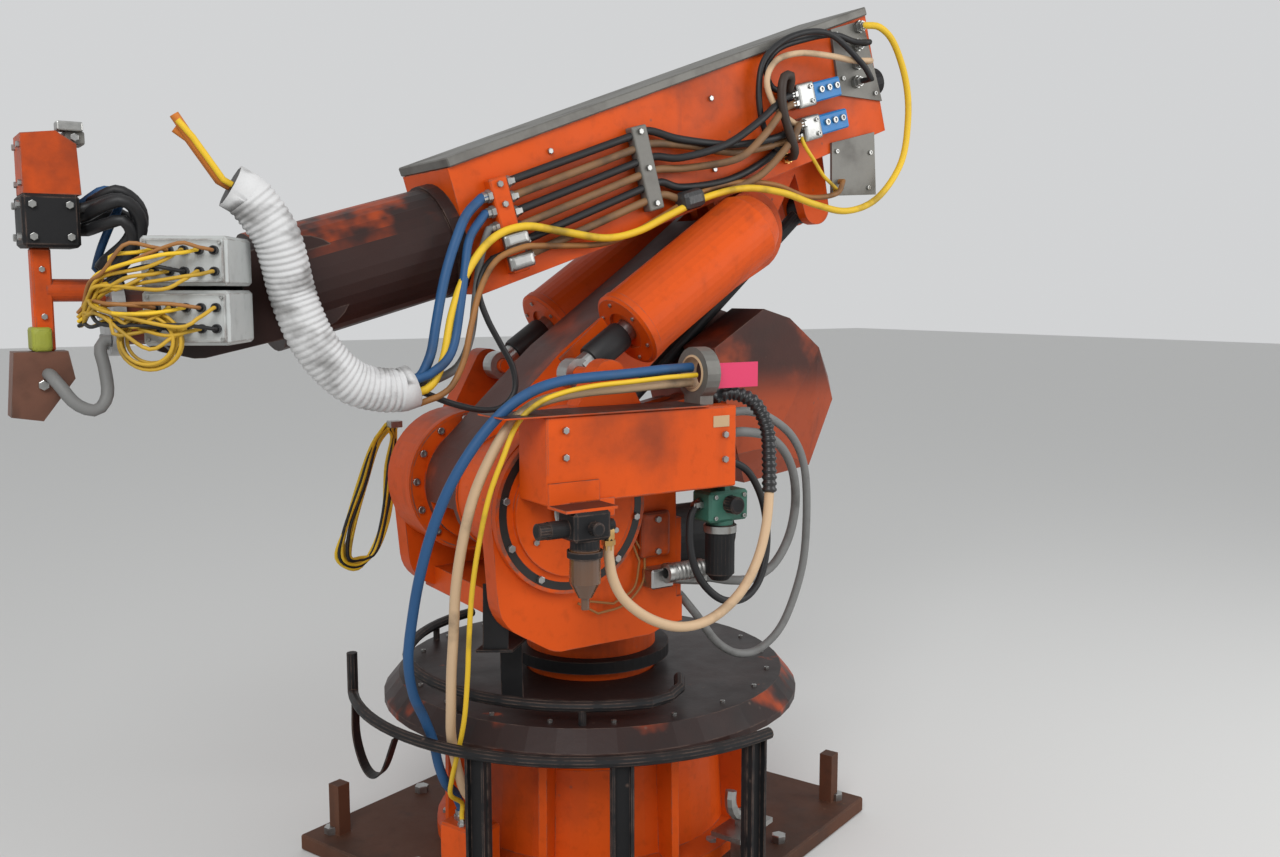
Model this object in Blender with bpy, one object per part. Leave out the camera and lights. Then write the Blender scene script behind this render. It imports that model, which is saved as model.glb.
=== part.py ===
"""Industrial six-axis robot arm with a parallel linkage and two balancing cylinders, on its floor plate.

Metres, +Z up. +X is the way the arm points at rest, +Y is the robot's left. The arms are drawn in their
zero pose, lower arm upright and upper arm level, and then turned about their own pins to the rest pose.
"""

import math

import bmesh
import bpy
from mathutils import Euler, Matrix, Vector

# Gaps and running fits
SEAT = 0.0003
PIN_FIT = 0.001
SWEEP = 0.006

# Joint layout: shoulder pin ahead of the turning axis, arm lengths, and the lever of the parallel linkage
SHOULDER_X = 0.268
SHOULDER_Z = 0.94
LOWER_ARM = 0.95
UPPER_OFFSET = 0.195
LEVER = 0.26
WRIST_REACH = 1.42
FLANGE_REACH = 0.125
LEAN = math.radians(-49)
PITCH = math.radians(16)
WRIST_BEND = math.radians(-16)
BASE_TURN = math.radians(20)

# Floor plate, pedestal and guards
PLATE_SIDE = 1.05
PLATE_THICK = 0.04
POST_SIDE = 0.036
POST_HEIGHT = 0.13
POST_INSET = 0.07
FOOT_RADIUS = 0.40
PEDESTAL_RADIUS = 0.335
PEDESTAL_TOP_RADIUS = 0.372
PEDESTAL_TOP_Z = 0.40
RIB_COUNT = 8
RIB_REACH = 0.07
RIB_THICK = 0.02
COVER_RADIUS = 0.525
COVER_TOP_RADIUS = 0.488
COVER_EDGE = 0.016
COVER_THICK = 0.06
HOOP_RADIUS = 0.60
HOOP_Z = 0.43
HOOP_PIPE = 0.013
HOOP_UPTURN = 0.10
HOOP_FROM = math.radians(-38)
HOOP_TO = math.radians(80)
LEG_TURNS = (math.radians(14), math.radians(45), math.radians(77))
LEG_PLATE = 0.006
LEG_WIDTH = 0.052
LEG_DEPTH = 0.034
COLLAR_RADIUS = 0.465
COLLAR_LIFT = 0.042
COLLAR_FROM = math.radians(-95)
COLLAR_TO = math.radians(55)
TERMINAL_X = 0.45
TERMINAL_TOP = 0.19

# Turning frame, with heights and lengths measured from the shoulder pin
NECK_RADIUS = 0.165
FRAME_FLOOR_DROP = 0.36
FRAME_FLOOR_THICK = 0.07
FRAME_REAR = -0.308
FRAME_WALL = 0.05
NEAR_CHEEK_IN = 0.295
NEAR_CHEEK_THICK = 0.05
FAR_CHEEK_IN = 0.25
FAR_CHEEK_THICK = 0.06
NEAR_RING_RADIUS = 0.185
FAR_RING_RADIUS = 0.14
COVER_PLATE_THICK = 0.022
MOTOR_RADIUS = 0.078
MOTOR_DROP = 0.14
TRAY_LOW = Vector((-0.343, 0.38, 0.038))
TRAY_HIGH = Vector((0.137, 0.50, 0.218))
TRAY_SHEET = 0.005
RING_PLACE = Vector((-0.29, 0.43, 0.287))
RING_RADIUS = 0.058
RING_BORE = 0.041
RING_THICK = 0.036
FILTER_PLACE = Vector((0.077, 0.545, -0.015))
REGULATOR_PLACE = Vector((-0.353, 0.43, -0.015))

# Balancing cylinders: pin on the frame, pin on the lower arm, and the telescoping fit between them
FRAME_PIN_X = -0.112
FRAME_PIN_Z = 0.278
FRAME_PIN_RADIUS = 0.018
BALANCE_Y = 0.19
BALANCE_PIN_ALONG = 0.84
BALANCE_PIN_AHEAD = 0.07
BALANCE_RADIUS = 0.094
BALANCE_WALL = 0.012
BALANCE_LENGTH = 0.50
BALANCE_HEAD = 0.10
BALANCE_ROD_RADIUS = 0.027
BALANCE_ROD_END = 0.03
BALANCE_TRUNNION = 0.016

# Lower arm and linkage
ARM_HALF_WIDTH = 0.085
ARM_WALL = 0.02
ARM_HUB_RADIUS = 0.145
DRUM_RADIUS = 0.174
DRUM_FACE_Y = -0.11
ELBOW_RADIUS = 0.105
ARM_SPAN_RADIUS = 0.10
ELBOW_PIN_RADIUS = 0.036
ELBOW_SLOT_DEPTH = 0.085
LINK_PIN_RADIUS = 0.02
TIE_RADIUS = 0.02
TIE_EYE_RADIUS = 0.042
TIE_HALF_WIDTH = 0.022
TIE_EYE_PLAY = 0.004
TIE_SLOT_HALF_WIDTH = 0.036
LEAST_LINK_ANGLE = math.radians(22)
FORK_IN = 0.026
FORK_OUT = 0.058
HUB_SHAFT_RADIUS = 0.05
LINK_HUB_RADIUS = 0.085
WEIGHT_FRONT = -0.60
WEIGHT_HALF_WIDTH = 0.17
WEIGHT_TAIL_HALF_WIDTH = 0.085

# Upper arm, with heights measured from the forearm's axis
HOUSING_HALF_WIDTH = 0.125
HOUSING_REAR = -0.50
HOUSING_FRONT = 0.82
HOUSING_TOP_REAR = 0.27
HOUSING_TOP_FRONT = 0.155
TOP_STRIP_THICK = 0.022
TOP_STRIP_LIP = 0.01
SIDE_PLATE = 0.008
RACK_HOSE_COUNT = 6
RACK_HOSE_RADIUS = 0.011
HOSE_STEP = 0.05
RACK_STAND_OFF = 0.018
RACK_FRONT_X = 0.70
RACK_REAR_X = 0.30
RACK_CLAMP_WIDE = 0.045
RACK_CLAMP_DEEP = 0.03
FOREARM_RADIUS = 0.13
FOREARM_END = WRIST_REACH - 0.18
FORK_CHEEK_IN = 0.075
FORK_CHEEK_OUT = 0.105
WRIST_PIN_RADIUS = 0.03
WRIST_PIN_HALF = 0.112

# Junction boxes on the wrist, and the tool
BOX_TURN = math.radians(-30)
BOX_BACK = 0.124
BOX_DEPTH = 0.17
BOX_WIDE = (-0.17, -0.015)
TOOL_FLANGE_RADIUS = 0.08
TOOL_FLANGE_THICK = 0.025
TOOL_POST_X = 0.245

# Hoses and cables
DRESS_HOSE_RADIUS = 0.047
HOSE_RADIUS = 0.011
HOSE_STEP = 0.05
CABLE_RADIUS = 0.009
COIL_RADIUS = 0.05
COIL_BAND = 0.013


def tilted(turn, point):
    """A point turned about the Y direction."""
    return Euler((0, turn, 0)).to_matrix() @ Vector(point)


SHOULDER = Vector((SHOULDER_X, 0, SHOULDER_Z))
ELBOW = SHOULDER + tilted(LEAN, (0, 0, LOWER_ARM))
WRIST = ELBOW + tilted(PITCH, (WRIST_REACH, 0, UPPER_OFFSET))
FRAME_PIN = Vector((FRAME_PIN_X, 0, FRAME_PIN_Z))
BALANCE_PIN = tilted(LEAN, (BALANCE_PIN_AHEAD, 0, BALANCE_PIN_ALONG))
NEAR_OUT = NEAR_CHEEK_IN + NEAR_CHEEK_THICK
FAR_OUT = FAR_CHEEK_IN + FAR_CHEEK_THICK
COVER_TOP_Z = PEDESTAL_TOP_Z + SEAT + COVER_THICK
ON_PLATE = PLATE_THICK + SEAT

PAINT = {}
HELPERS = bpy.data.collections.new("helpers")


def clear_scene():
    for old in list(bpy.data.objects):
        bpy.data.objects.remove(old)
    HELPERS.hide_render = True
    bpy.context.scene.collection.children.link(HELPERS)


def paint(name, colour, roughness, metallic):
    made = bpy.data.materials.new(name)
    made.use_nodes = True
    shader = made.node_tree.nodes["Principled BSDF"]
    shader.inputs["Base Color"].default_value = (*colour, 1)
    shader.inputs["Roughness"].default_value = roughness
    shader.inputs["Metallic"].default_value = metallic
    PAINT[name] = made


def mix_paints():
    paint("orange", (0.62, 0.11, 0.03), 0.45, 0.0)
    paint("dark_grease", (0.05, 0.035, 0.03), 0.5, 0.0)
    paint("black", (0.02, 0.02, 0.022), 0.5, 0.0)
    paint("steel", (0.45, 0.45, 0.45), 0.35, 0.9)
    paint("grey_cast", (0.4, 0.38, 0.33), 0.55, 0.2)
    paint("rubber_blue", (0.03, 0.10, 0.22), 0.5, 0.0)
    paint("rubber_yellow", (0.65, 0.42, 0.03), 0.5, 0.0)
    paint("rubber_beige", (0.5, 0.33, 0.18), 0.5, 0.0)
    paint("rubber_grey", (0.35, 0.35, 0.34), 0.6, 0.0)
    paint("box_grey", (0.5, 0.51, 0.5), 0.5, 0.0)
    paint("pink", (0.75, 0.08, 0.16), 0.5, 0.0)
    paint("green", (0.05, 0.16, 0.11), 0.5, 0.0)
    paint("amber", (0.16, 0.07, 0.04), 0.2, 0.0)
    paint("blue", (0.02, 0.22, 0.5), 0.5, 0.0)


def object_from(mesh_data, name="bit"):
    made = bpy.data.objects.new(name, mesh_data)
    HELPERS.objects.link(made)
    return made


def from_bmesh(shape):
    bmesh.ops.recalc_face_normals(shape, faces=shape.faces)
    mesh_data = bpy.data.meshes.new("bit")
    shape.to_mesh(mesh_data)
    shape.free()
    return object_from(mesh_data)


def box(size, centre, turn=(0, 0, 0), soft=0.0):
    """A block, with its edges rounded off in one step by soft."""
    shape = bmesh.new()
    bmesh.ops.create_cube(shape, size=1)
    bmesh.ops.scale(shape, vec=size, verts=shape.verts)
    if soft:
        bmesh.ops.bevel(shape, geom=shape.edges[:], offset=soft, segments=1, affect="EDGES")
    matrix = Matrix.Translation(centre) @ Euler(turn).to_matrix().to_4x4()
    bmesh.ops.transform(shape, matrix=matrix, verts=shape.verts)
    return from_bmesh(shape)


def span(low, high, soft=0.0):
    """A block from its low corner to its high corner."""
    low, high = Vector(low), Vector(high)
    return box(high - low, (low + high) / 2, soft=soft)


def rod(radius, start, end, sides=24, top_radius=None):
    """A cylinder or cone between two points."""
    start, end = Vector(start), Vector(end)
    way = end - start
    shape = bmesh.new()
    bmesh.ops.create_cone(
        shape,
        cap_ends=True,
        segments=sides,
        radius1=radius,
        radius2=radius if top_radius is None else top_radius,
        depth=way.length,
    )
    matrix = Matrix.Translation((start + end) / 2) @ way.to_track_quat("Z", "Y").to_matrix().to_4x4()
    bmesh.ops.transform(shape, matrix=matrix, verts=shape.verts)
    return from_bmesh(shape)


def ring_points(x, z, radius, y, sides=24):
    return [
        Vector((x + radius * math.cos(turn), y, z + radius * math.sin(turn)))
        for turn in (2 * math.pi * (k + 0.5) / sides for k in range(sides))
    ]


def hull(points):
    """The convex body round the points."""
    shape = bmesh.new()
    for point in points:
        shape.verts.new(point)
    result = bmesh.ops.convex_hull(shape, input=shape.verts)
    bmesh.ops.delete(shape, geom=list(set(result["geom_interior"])), context="VERTS")
    bmesh.ops.dissolve_limit(
        shape, angle_limit=math.radians(0.5), verts=shape.verts, edges=shape.edges
    )
    return from_bmesh(shape)


def plate(circles, y_from, y_to, sides=24):
    """A flat plate round the given circles (x, z, radius), as a band round pulleys."""
    points = []
    for x, z, radius in circles:
        points += ring_points(x, z, radius, y_from, sides) + ring_points(x, z, radius, y_to, sides)
    return hull(points)


def smooth_route(route, spacing):
    """Points at an even spacing along a smooth curve through the route's own points."""
    route = [Vector(point) for point in route]
    ends = [2 * route[0] - route[1]] + route + [2 * route[-1] - route[-2]]
    fine = []
    for before, here, there, after in zip(ends, ends[1:], ends[2:], ends[3:]):
        for k in range(16):
            t = k / 16
            fine.append(
                0.5
                * (
                    2 * here
                    + (there - before) * t
                    + (2 * before - 5 * here + 4 * there - after) * t**2
                    + (3 * here - before - 3 * there + after) * t**3
                )
            )
    fine.append(route[-1])
    length = sum((b - a).length for a, b in zip(fine, fine[1:]))
    count = max(2, round(length / spacing))
    step, walked, kept = length / count, 0.0, [fine[0]]
    for a, b in zip(fine, fine[1:]):
        gap = (b - a).length
        while walked + gap >= step * len(kept) and len(kept) < count:
            kept.append(a.lerp(b, (step * len(kept) - walked) / gap))
        walked += gap
    return kept + [fine[-1]]


def tube(route, radius, spacing=None, resolution=2, smooth=True, closed=False):
    """A pipe or hose along a route, as a mesh."""
    points = smooth_route(route, spacing or 2.5 * radius) if smooth else [Vector(p) for p in route]
    line = bpy.data.curves.new("line", "CURVE")
    line.dimensions = "3D"
    line.bevel_depth = radius
    line.bevel_resolution = resolution
    line.use_fill_caps = True
    spline = line.splines.new("POLY")
    spline.points.add(len(points) - 1)
    spline.use_cyclic_u = closed
    for spot, point in zip(spline.points, points):
        spot.co = (*point, 1)
    holder = bpy.data.objects.new("line", line)
    HELPERS.objects.link(holder)
    bpy.context.view_layer.update()
    mesh_data = bpy.data.meshes.new_from_object(holder.evaluated_get(bpy.context.evaluated_depsgraph_get()))
    bpy.data.objects.remove(holder)
    shape = bmesh.new()
    shape.from_mesh(mesh_data)
    bmesh.ops.remove_doubles(shape, verts=shape.verts, dist=1e-5)
    return from_bmesh(shape)


def bend(radius, z, turn_from, turn_to, steps):
    """Points on a level arc about the turning axis."""
    return [
        Vector((radius * math.cos(turn), radius * math.sin(turn), z))
        for turn in (turn_from + (turn_to - turn_from) * k / steps for k in range(steps + 1))
    ]


def turned(profile, sides=48):
    """A body turned about Z from a closed profile of (radius, height) points."""
    shape = bmesh.new()
    ring = [shape.verts.new((radius, 0, height)) for radius, height in profile]
    edges = [shape.edges.new((a, b)) for a, b in zip(ring, ring[1:] + ring[:1])]
    bmesh.ops.spin(
        shape,
        geom=ring + edges,
        axis=(0, 0, 1),
        cent=(0, 0, 0),
        angle=2 * math.pi,
        steps=sides,
        use_merge=True,
        use_duplicate=False,
    )
    bmesh.ops.remove_doubles(shape, verts=shape.verts, dist=1e-5)
    return from_bmesh(shape)


def evaluated_mesh(holder):
    bpy.context.view_layer.update()
    return bpy.data.meshes.new_from_object(holder.evaluated_get(bpy.context.evaluated_depsgraph_get()))


def combine(first, others, operation):
    for other in others:
        step = first.modifiers.new(operation.lower(), "BOOLEAN")
        step.operation = operation
        step.solver = "EXACT"
        step.object = other
        other.display_type = "WIRE"
        baked = evaluated_mesh(first)
        first.modifiers.clear()
        first.data = baked
    return first


def piece(name, bits, colour, cuts=(), at=(0, 0, 0), turn=(0, 0, 0), parent=None):
    """One node: its bits joined, its cuts taken out, placed with its origin at the given point."""
    body = combine(bits[0], bits[1:], "UNION")
    body = combine(body, cuts, "DIFFERENCE")
    body.data.materials.clear()
    body.data.materials.append(PAINT[colour])
    HELPERS.objects.unlink(body)
    bpy.context.scene.collection.objects.link(body)
    body.name = name
    body.location = at
    body.rotation_euler = turn
    body.parent = parent
    return body


def hose(name, route, radius, colour, at=(0, 0, 0), turn=(0, 0, 0), parent=None):
    """A free hose or cable: a round curve through the route's points."""
    middle = smooth_route(route[1:-1], min(5 * radius, HOSE_STEP))
    points = [Vector(route[0])] + middle + [Vector(route[-1])]
    line = bpy.data.curves.new(name, "CURVE")
    line.dimensions = "3D"
    line.bevel_depth = radius
    line.bevel_resolution = 2
    line.use_fill_caps = True
    spline = line.splines.new("POLY")
    spline.points.add(len(points) - 1)
    for spot, point in zip(spline.points, points):
        spot.co = (*point, 1)
    line.materials.append(PAINT[colour])
    made = bpy.data.objects.new(name, line)
    made.location = at
    made.rotation_euler = turn
    made.parent = parent
    bpy.context.scene.collection.objects.link(made)
    return made


def base_empty():
    centre = bpy.data.objects.new("base_centre", None)
    centre.rotation_euler = (0, 0, BASE_TURN)
    bpy.context.scene.collection.objects.link(centre)
    return centre


def make_base():
    centre = base_empty()
    half = PLATE_SIDE / 2
    posts = []
    for sx, sy in ((1, -1), (-1, 1), (-1, -1)):
        spot = Vector((sx * (half - POST_INSET), sy * (half - POST_INSET), PLATE_THICK + POST_HEIGHT / 2))
        posts.append(box((POST_SIDE, POST_SIDE, POST_HEIGHT + 0.01), spot - Vector((0, 0, 0.005))))
    plate_block = span((-half, -half, 0), (half, half, PLATE_THICK), soft=0.004)
    piece("floor_plate", [plate_block] + posts, "dark_grease", parent=centre)
    make_pedestal(centre)
    cover = turned(
        [
            (NECK_RADIUS + SWEEP, PEDESTAL_TOP_Z + SEAT),
            (COVER_RADIUS, PEDESTAL_TOP_Z + SEAT),
            (COVER_RADIUS, PEDESTAL_TOP_Z + COVER_EDGE),
            (COVER_TOP_RADIUS, COVER_TOP_Z),
            (NECK_RADIUS + SWEEP, COVER_TOP_Z),
        ]
    )
    piece("base_cover", [cover], "black", parent=centre)
    make_guard(centre)
    make_base_fittings(centre)


def make_pedestal(centre):
    shoulder = PEDESTAL_TOP_Z - 0.04
    profile = [
        (0, ON_PLATE),
        (FOOT_RADIUS, ON_PLATE),
        (FOOT_RADIUS, ON_PLATE + 0.03),
        (PEDESTAL_RADIUS + 0.012, ON_PLATE + 0.045),
        (PEDESTAL_RADIUS, PEDESTAL_TOP_Z - 0.10),
        (PEDESTAL_TOP_RADIUS, shoulder),
        (PEDESTAL_TOP_RADIUS, PEDESTAL_TOP_Z),
        (0, PEDESTAL_TOP_Z),
    ]
    ribs = []
    for k in range(RIB_COUNT):
        turn = 2 * math.pi * (k + 0.5) / RIB_COUNT
        out = Vector((math.cos(turn), math.sin(turn), 0))
        across = Vector((-out.y, out.x, 0)) * RIB_THICK / 2
        inner, outer = out * (PEDESTAL_RADIUS - 0.02), out * (PEDESTAL_RADIUS + RIB_REACH)
        rise_from, rise_to = Vector((0, 0, ON_PLATE + 0.02)), Vector((0, 0, PEDESTAL_TOP_Z - 0.015))
        corners = [inner + rise_from, outer + rise_from, inner + rise_to, outer * 0.985 + rise_to]
        ribs.append(hull([corner + side for corner in corners for side in (across, -across)]))
    piece("pedestal", [turned(profile)] + ribs, "orange", parent=centre)


def make_guard(centre):
    """The pipe hoop on three folded legs, and the smaller hoop on struts round the collar."""
    arc = bend(HOOP_RADIUS, HOOP_Z, HOOP_FROM, HOOP_TO, 28)
    upturn = [arc[0] + Vector((0, 0, HOOP_UPTURN * share)) for share in (1, 0.3)]
    legs = []
    for turn in LEG_TURNS:
        tall = HOOP_Z - ON_PLATE
        middle = Vector((math.cos(turn), math.sin(turn), 0)) * (HOOP_RADIUS - LEG_DEPTH / 2)
        middle.z = ON_PLATE + tall / 2
        legs.append(box((LEG_PLATE, LEG_WIDTH, tall), middle, turn=(0, 0, turn)))
        for side in (-1, 1):
            edge = Vector((-math.sin(turn), math.cos(turn), 0)) * side * (LEG_WIDTH / 2 - LEG_PLATE)
            legs.append(box((LEG_DEPTH, LEG_PLATE, tall - 0.004), middle + edge, turn=(0, 0, turn)))
    pipe = tube(upturn + arc, HOOP_PIPE, smooth=False, resolution=3)
    piece("guard_hoop", [pipe] + legs, "black", parent=centre)
    level = COVER_TOP_Z + COLLAR_LIFT
    collar = bend(COLLAR_RADIUS, level, COLLAR_FROM, COLLAR_TO, 26)
    inward = [
        Vector(((COLLAR_RADIUS - drop) * math.cos(turn), (COLLAR_RADIUS - drop) * math.sin(turn), level))
        for drop, turn in ((0.02, COLLAR_TO + 0.12), (0.06, COLLAR_TO + 0.24), (0.12, COLLAR_TO + 0.36))
    ]
    struts = []
    for k in range(4):
        foot = bend(COLLAR_RADIUS, COVER_TOP_Z + SEAT, COLLAR_FROM + (COLLAR_TO - COLLAR_FROM) * (k + 0.5) / 4, 0, 1)[0]
        struts.append(rod(0.009, foot, foot + Vector((0, 0, COLLAR_LIFT)), sides=12))
    pipe = tube(collar + inward, HOOP_PIPE, smooth=False, resolution=3)
    piece("collar_hoop", [pipe] + struts, "black", parent=centre)


def make_base_fittings(centre):
    piece(
        "terminal_block",
        [span((TERMINAL_X - 0.04, -0.06, ON_PLATE), (TERMINAL_X + 0.04, 0.06, TERMINAL_TOP), soft=0.005)],
        "orange",
        parent=centre,
    )
    out = PEDESTAL_RADIUS + RIB_REACH + 0.055
    saddle_radius, saddle_z = 0.055, 0.225
    crescent = [
        Vector((saddle_radius * math.cos(turn), out, saddle_z + saddle_radius * math.sin(turn)))
        for turn in (math.radians(165 + 215 * k / 12) for k in range(13))
    ]
    piece(
        "cable_saddle",
        [
            span((-0.075, out - 0.04, 0.13), (0.075, out + 0.04, 0.142)),
            tube(crescent, 0.014, smooth=False, resolution=2),
            span((-0.014, out - 0.012, 0.138), (0.014, out + 0.012, saddle_z - saddle_radius)),
            span((-0.02, out - 0.02, ON_PLATE), (0.02, out + 0.02, 0.135)),
        ],
        "grey_cast",
        parent=centre,
    )


def make_frame():
    make_frame_casting()
    band = [
        (NECK_RADIUS + SEAT, COVER_TOP_Z + 0.025),
        (NECK_RADIUS + 0.035, COVER_TOP_Z + 0.025),
        (NECK_RADIUS + 0.035, COVER_TOP_Z + 0.055),
        (NECK_RADIUS + SEAT, COVER_TOP_Z + 0.055),
    ]
    piece("neck_band", [turned(band)], "black")
    near_face, near_step = NEAR_OUT + SEAT, NEAR_OUT + COVER_PLATE_THICK
    piece(
        "near_gear_cover",
        [
            rod(NEAR_RING_RADIUS, (0, near_face, 0), (0, near_step, 0), sides=48),
            rod(0.145, (0, near_face + 0.01, 0), (0, near_step + 0.012, 0), sides=48),
        ],
        "orange",
        at=SHOULDER,
    )
    piece(
        "far_gear_cover",
        [rod(FAR_RING_RADIUS - 0.006, (0, -FAR_OUT - SEAT, 0), (0, -FAR_OUT - COVER_PLATE_THICK, 0), sides=48)],
        "orange",
        at=SHOULDER,
    )
    rear = FRAME_REAR - SEAT
    for side, y in (("left", 0.17), ("right", -0.15)):
        can = rod(MOTOR_RADIUS, (rear, y, -MOTOR_DROP), (rear - 0.21, y, -MOTOR_DROP), sides=32)
        cap = rod(MOTOR_RADIUS - 0.018, (rear - 0.20, y, -MOTOR_DROP), (rear - 0.25, y, -MOTOR_DROP), sides=32)
        piece("shoulder_motor_" + side, [can, cap], "black", at=SHOULDER)
    make_side_box()
    make_air_fittings()


def make_frame_casting():
    """Two cheeks on a floor, with a rear wall, the neck below, and the pins of the balancing rods."""
    pin = FRAME_PIN
    near = plate(
        [(-0.01, 0, 0.195), (0.072, -0.18, 0.10), (0.012, -0.24, 0.08), (-0.203, -0.23, 0.09), (-0.228, 0.10, 0.06), (-0.02, 0.08, 0.14)],
        NEAR_CHEEK_IN,
        NEAR_OUT,
        sides=32,
    )
    near_ear = plate([(pin.x, pin.z, 0.04), (-0.168, 0.12, 0.07), (-0.048, 0.12, 0.07)], NEAR_CHEEK_IN, NEAR_OUT)
    far = plate(
        [(0, 0, FAR_RING_RADIUS), (0.032, -0.20, 0.09), (-0.203, -0.22, 0.09), (-0.208, 0.04, 0.07)],
        -FAR_OUT,
        -FAR_CHEEK_IN,
        sides=32,
    )
    far_ear = plate([(pin.x, pin.z, 0.04), (-0.188, 0.06, 0.06), (-0.028, 0.06, 0.07)], -FAR_OUT, -FAR_CHEEK_IN)
    floor_low = -FRAME_FLOOR_DROP
    floor_top = floor_low + FRAME_FLOOR_THICK
    axis_x = -SHOULDER_X
    deck = [
        Vector((x, y, z))
        for x in (FRAME_REAR, 0.052)
        for y in (-FAR_OUT, NEAR_OUT)
        for z in (floor_top - 0.01, floor_top + 0.05)
    ]
    flare = [
        Vector((axis_x + (NECK_RADIUS + 0.045) * math.cos(turn), (NECK_RADIUS + 0.045) * math.sin(turn), floor_low))
        for turn in (math.radians(15 * k) for k in range(24))
    ]
    floor = hull(deck + flare)
    wall = combine(
        span((FRAME_REAR, -FAR_OUT + 0.005, floor_top), (FRAME_REAR + FRAME_WALL, NEAR_OUT - 0.005, -0.055)),
        [span((FRAME_REAR - 0.1, -0.068, -0.195), (FRAME_REAR + 0.1, 0.08, 0.1))],
        "DIFFERENCE",
    )
    pins = [
        rod(FRAME_PIN_RADIUS, (pin.x, NEAR_OUT - 0.01, pin.z), (pin.x, BALANCE_Y - 0.04, pin.z)),
        rod(FRAME_PIN_RADIUS, (pin.x, -FAR_OUT + 0.01, pin.z), (pin.x, -BALANCE_Y + 0.04, pin.z)),
    ]
    neck_foot = PEDESTAL_TOP_Z + SEAT - SHOULDER_Z
    neck = rod(NECK_RADIUS, (axis_x, 0, neck_foot), (axis_x, 0, floor_low + 0.02), sides=48)
    piece("frame_casting", [floor, near, near_ear, far, far_ear, wall, neck] + pins, "orange", at=SHOULDER)


def make_side_box():
    low, high, sheet = TRAY_LOW, TRAY_HIGH, TRAY_SHEET
    hollow = span(low + Vector((sheet, -0.02, -0.02)), high - Vector((sheet, sheet, sheet)))
    arms = [
        span((x, NEAR_OUT + SEAT, high.z - 0.03), (x + 0.05, high.y - 0.003, high.z - 0.008))
        for x in (low.x + 0.135, high.x - 0.165)
    ]
    tray = combine(span(low, high, soft=0.003), [hollow], "DIFFERENCE")
    piece("side_box", [tray] + arms, "orange", at=SHOULDER)
    middle, half = RING_PLACE, RING_THICK / 2
    along = Vector((half, 0, 0))
    ring = combine(
        rod(RING_RADIUS, middle - along, middle + along),
        [rod(RING_BORE, middle - 2 * along, middle + 2 * along)],
        "DIFFERENCE",
    )
    foot = span((middle.x - half, middle.y - 0.03, high.z + SEAT), (middle.x + half, middle.y + 0.03, middle.z - RING_BORE - 0.003))
    piece("ring_clamp", [ring, foot], "grey_cast", at=SHOULDER)
    tag_middle = Vector((middle.x - half - 0.0625 - SEAT, middle.y + 0.03, middle.z - 0.006))
    piece("number_tag", [box((0.125, 0.003, 0.056), tag_middle)], "pink", at=SHOULDER)


def make_air_fittings():
    x, y, z = FILTER_PLACE
    face = TRAY_HIGH.y
    piece(
        "filter_bracket",
        [
            span((x - 0.06, face + SEAT, z + 0.055), (x + 0.06, face + 0.006, z + 0.10)),
            span((x - 0.06, face + SEAT, z + 0.05), (x + 0.06, y + 0.03, z + 0.056)),
        ],
        "black",
        at=SHOULDER,
    )
    piece(
        "filter_head",
        [
            box((0.085, 0.07, 0.06), (x, y, z + 0.02 - SEAT), soft=0.006),
            rod(0.018, (x + 0.03, y, z + 0.015), (x + 0.085, y, z + 0.015)),
            rod(0.03, (x, y, z - 0.005), (x, y, z - 0.03)),
            rod(0.013, (x - 0.03, y, z + 0.012), (x - 0.066, y, z + 0.012), sides=16),
            rod(0.012, (x - 0.056, y, z + 0.018), (x - 0.056, y, z - 0.02), sides=16),
        ],
        "black",
        at=SHOULDER,
    )
    piece(
        "filter_bowl",
        [
            rod(0.032, (x, y, z - 0.03 - SEAT), (x, y, z - 0.10)),
            rod(0.032, (x, y, z - 0.099), (x, y, z - 0.13), top_radius=0.015),
            rod(0.009, (x, y, z - 0.125), (x, y, z - 0.155), sides=12),
        ],
        "amber",
        at=SHOULDER,
    )
    x, y, z = REGULATOR_PLACE
    piece(
        "regulator_head",
        [
            box((0.11, 0.07, 0.07), (x, y, z), soft=0.006),
            span((TRAY_LOW.x - 0.015, y - 0.03, z), (TRAY_LOW.x - SEAT, y + 0.03, z + 0.115)),
            rod(0.03, (x, y, z - 0.02), (x, y, z - 0.045)),
        ],
        "green",
        at=SHOULDER,
    )
    piece(
        "regulator_bowl",
        [
            rod(0.034, (x, y, z - 0.045 - SEAT), (x, y, z - 0.16)),
            rod(0.034, (x, y, z - 0.159), (x, y, z - 0.175), top_radius=0.02),
        ],
        "black",
        at=SHOULDER,
    )
    plug = Vector((-0.223, NEAR_OUT + 0.0225 + SEAT, -0.18))
    piece(
        "motor_connector",
        [
            box((0.06, 0.045, 0.045), plug, soft=0.004),
            rod(0.017, plug + Vector((-0.015, 0.0015, 0)), plug + Vector((-0.115, 0.0075, -0.015))),
        ],
        "steel",
        at=SHOULDER,
    )


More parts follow.
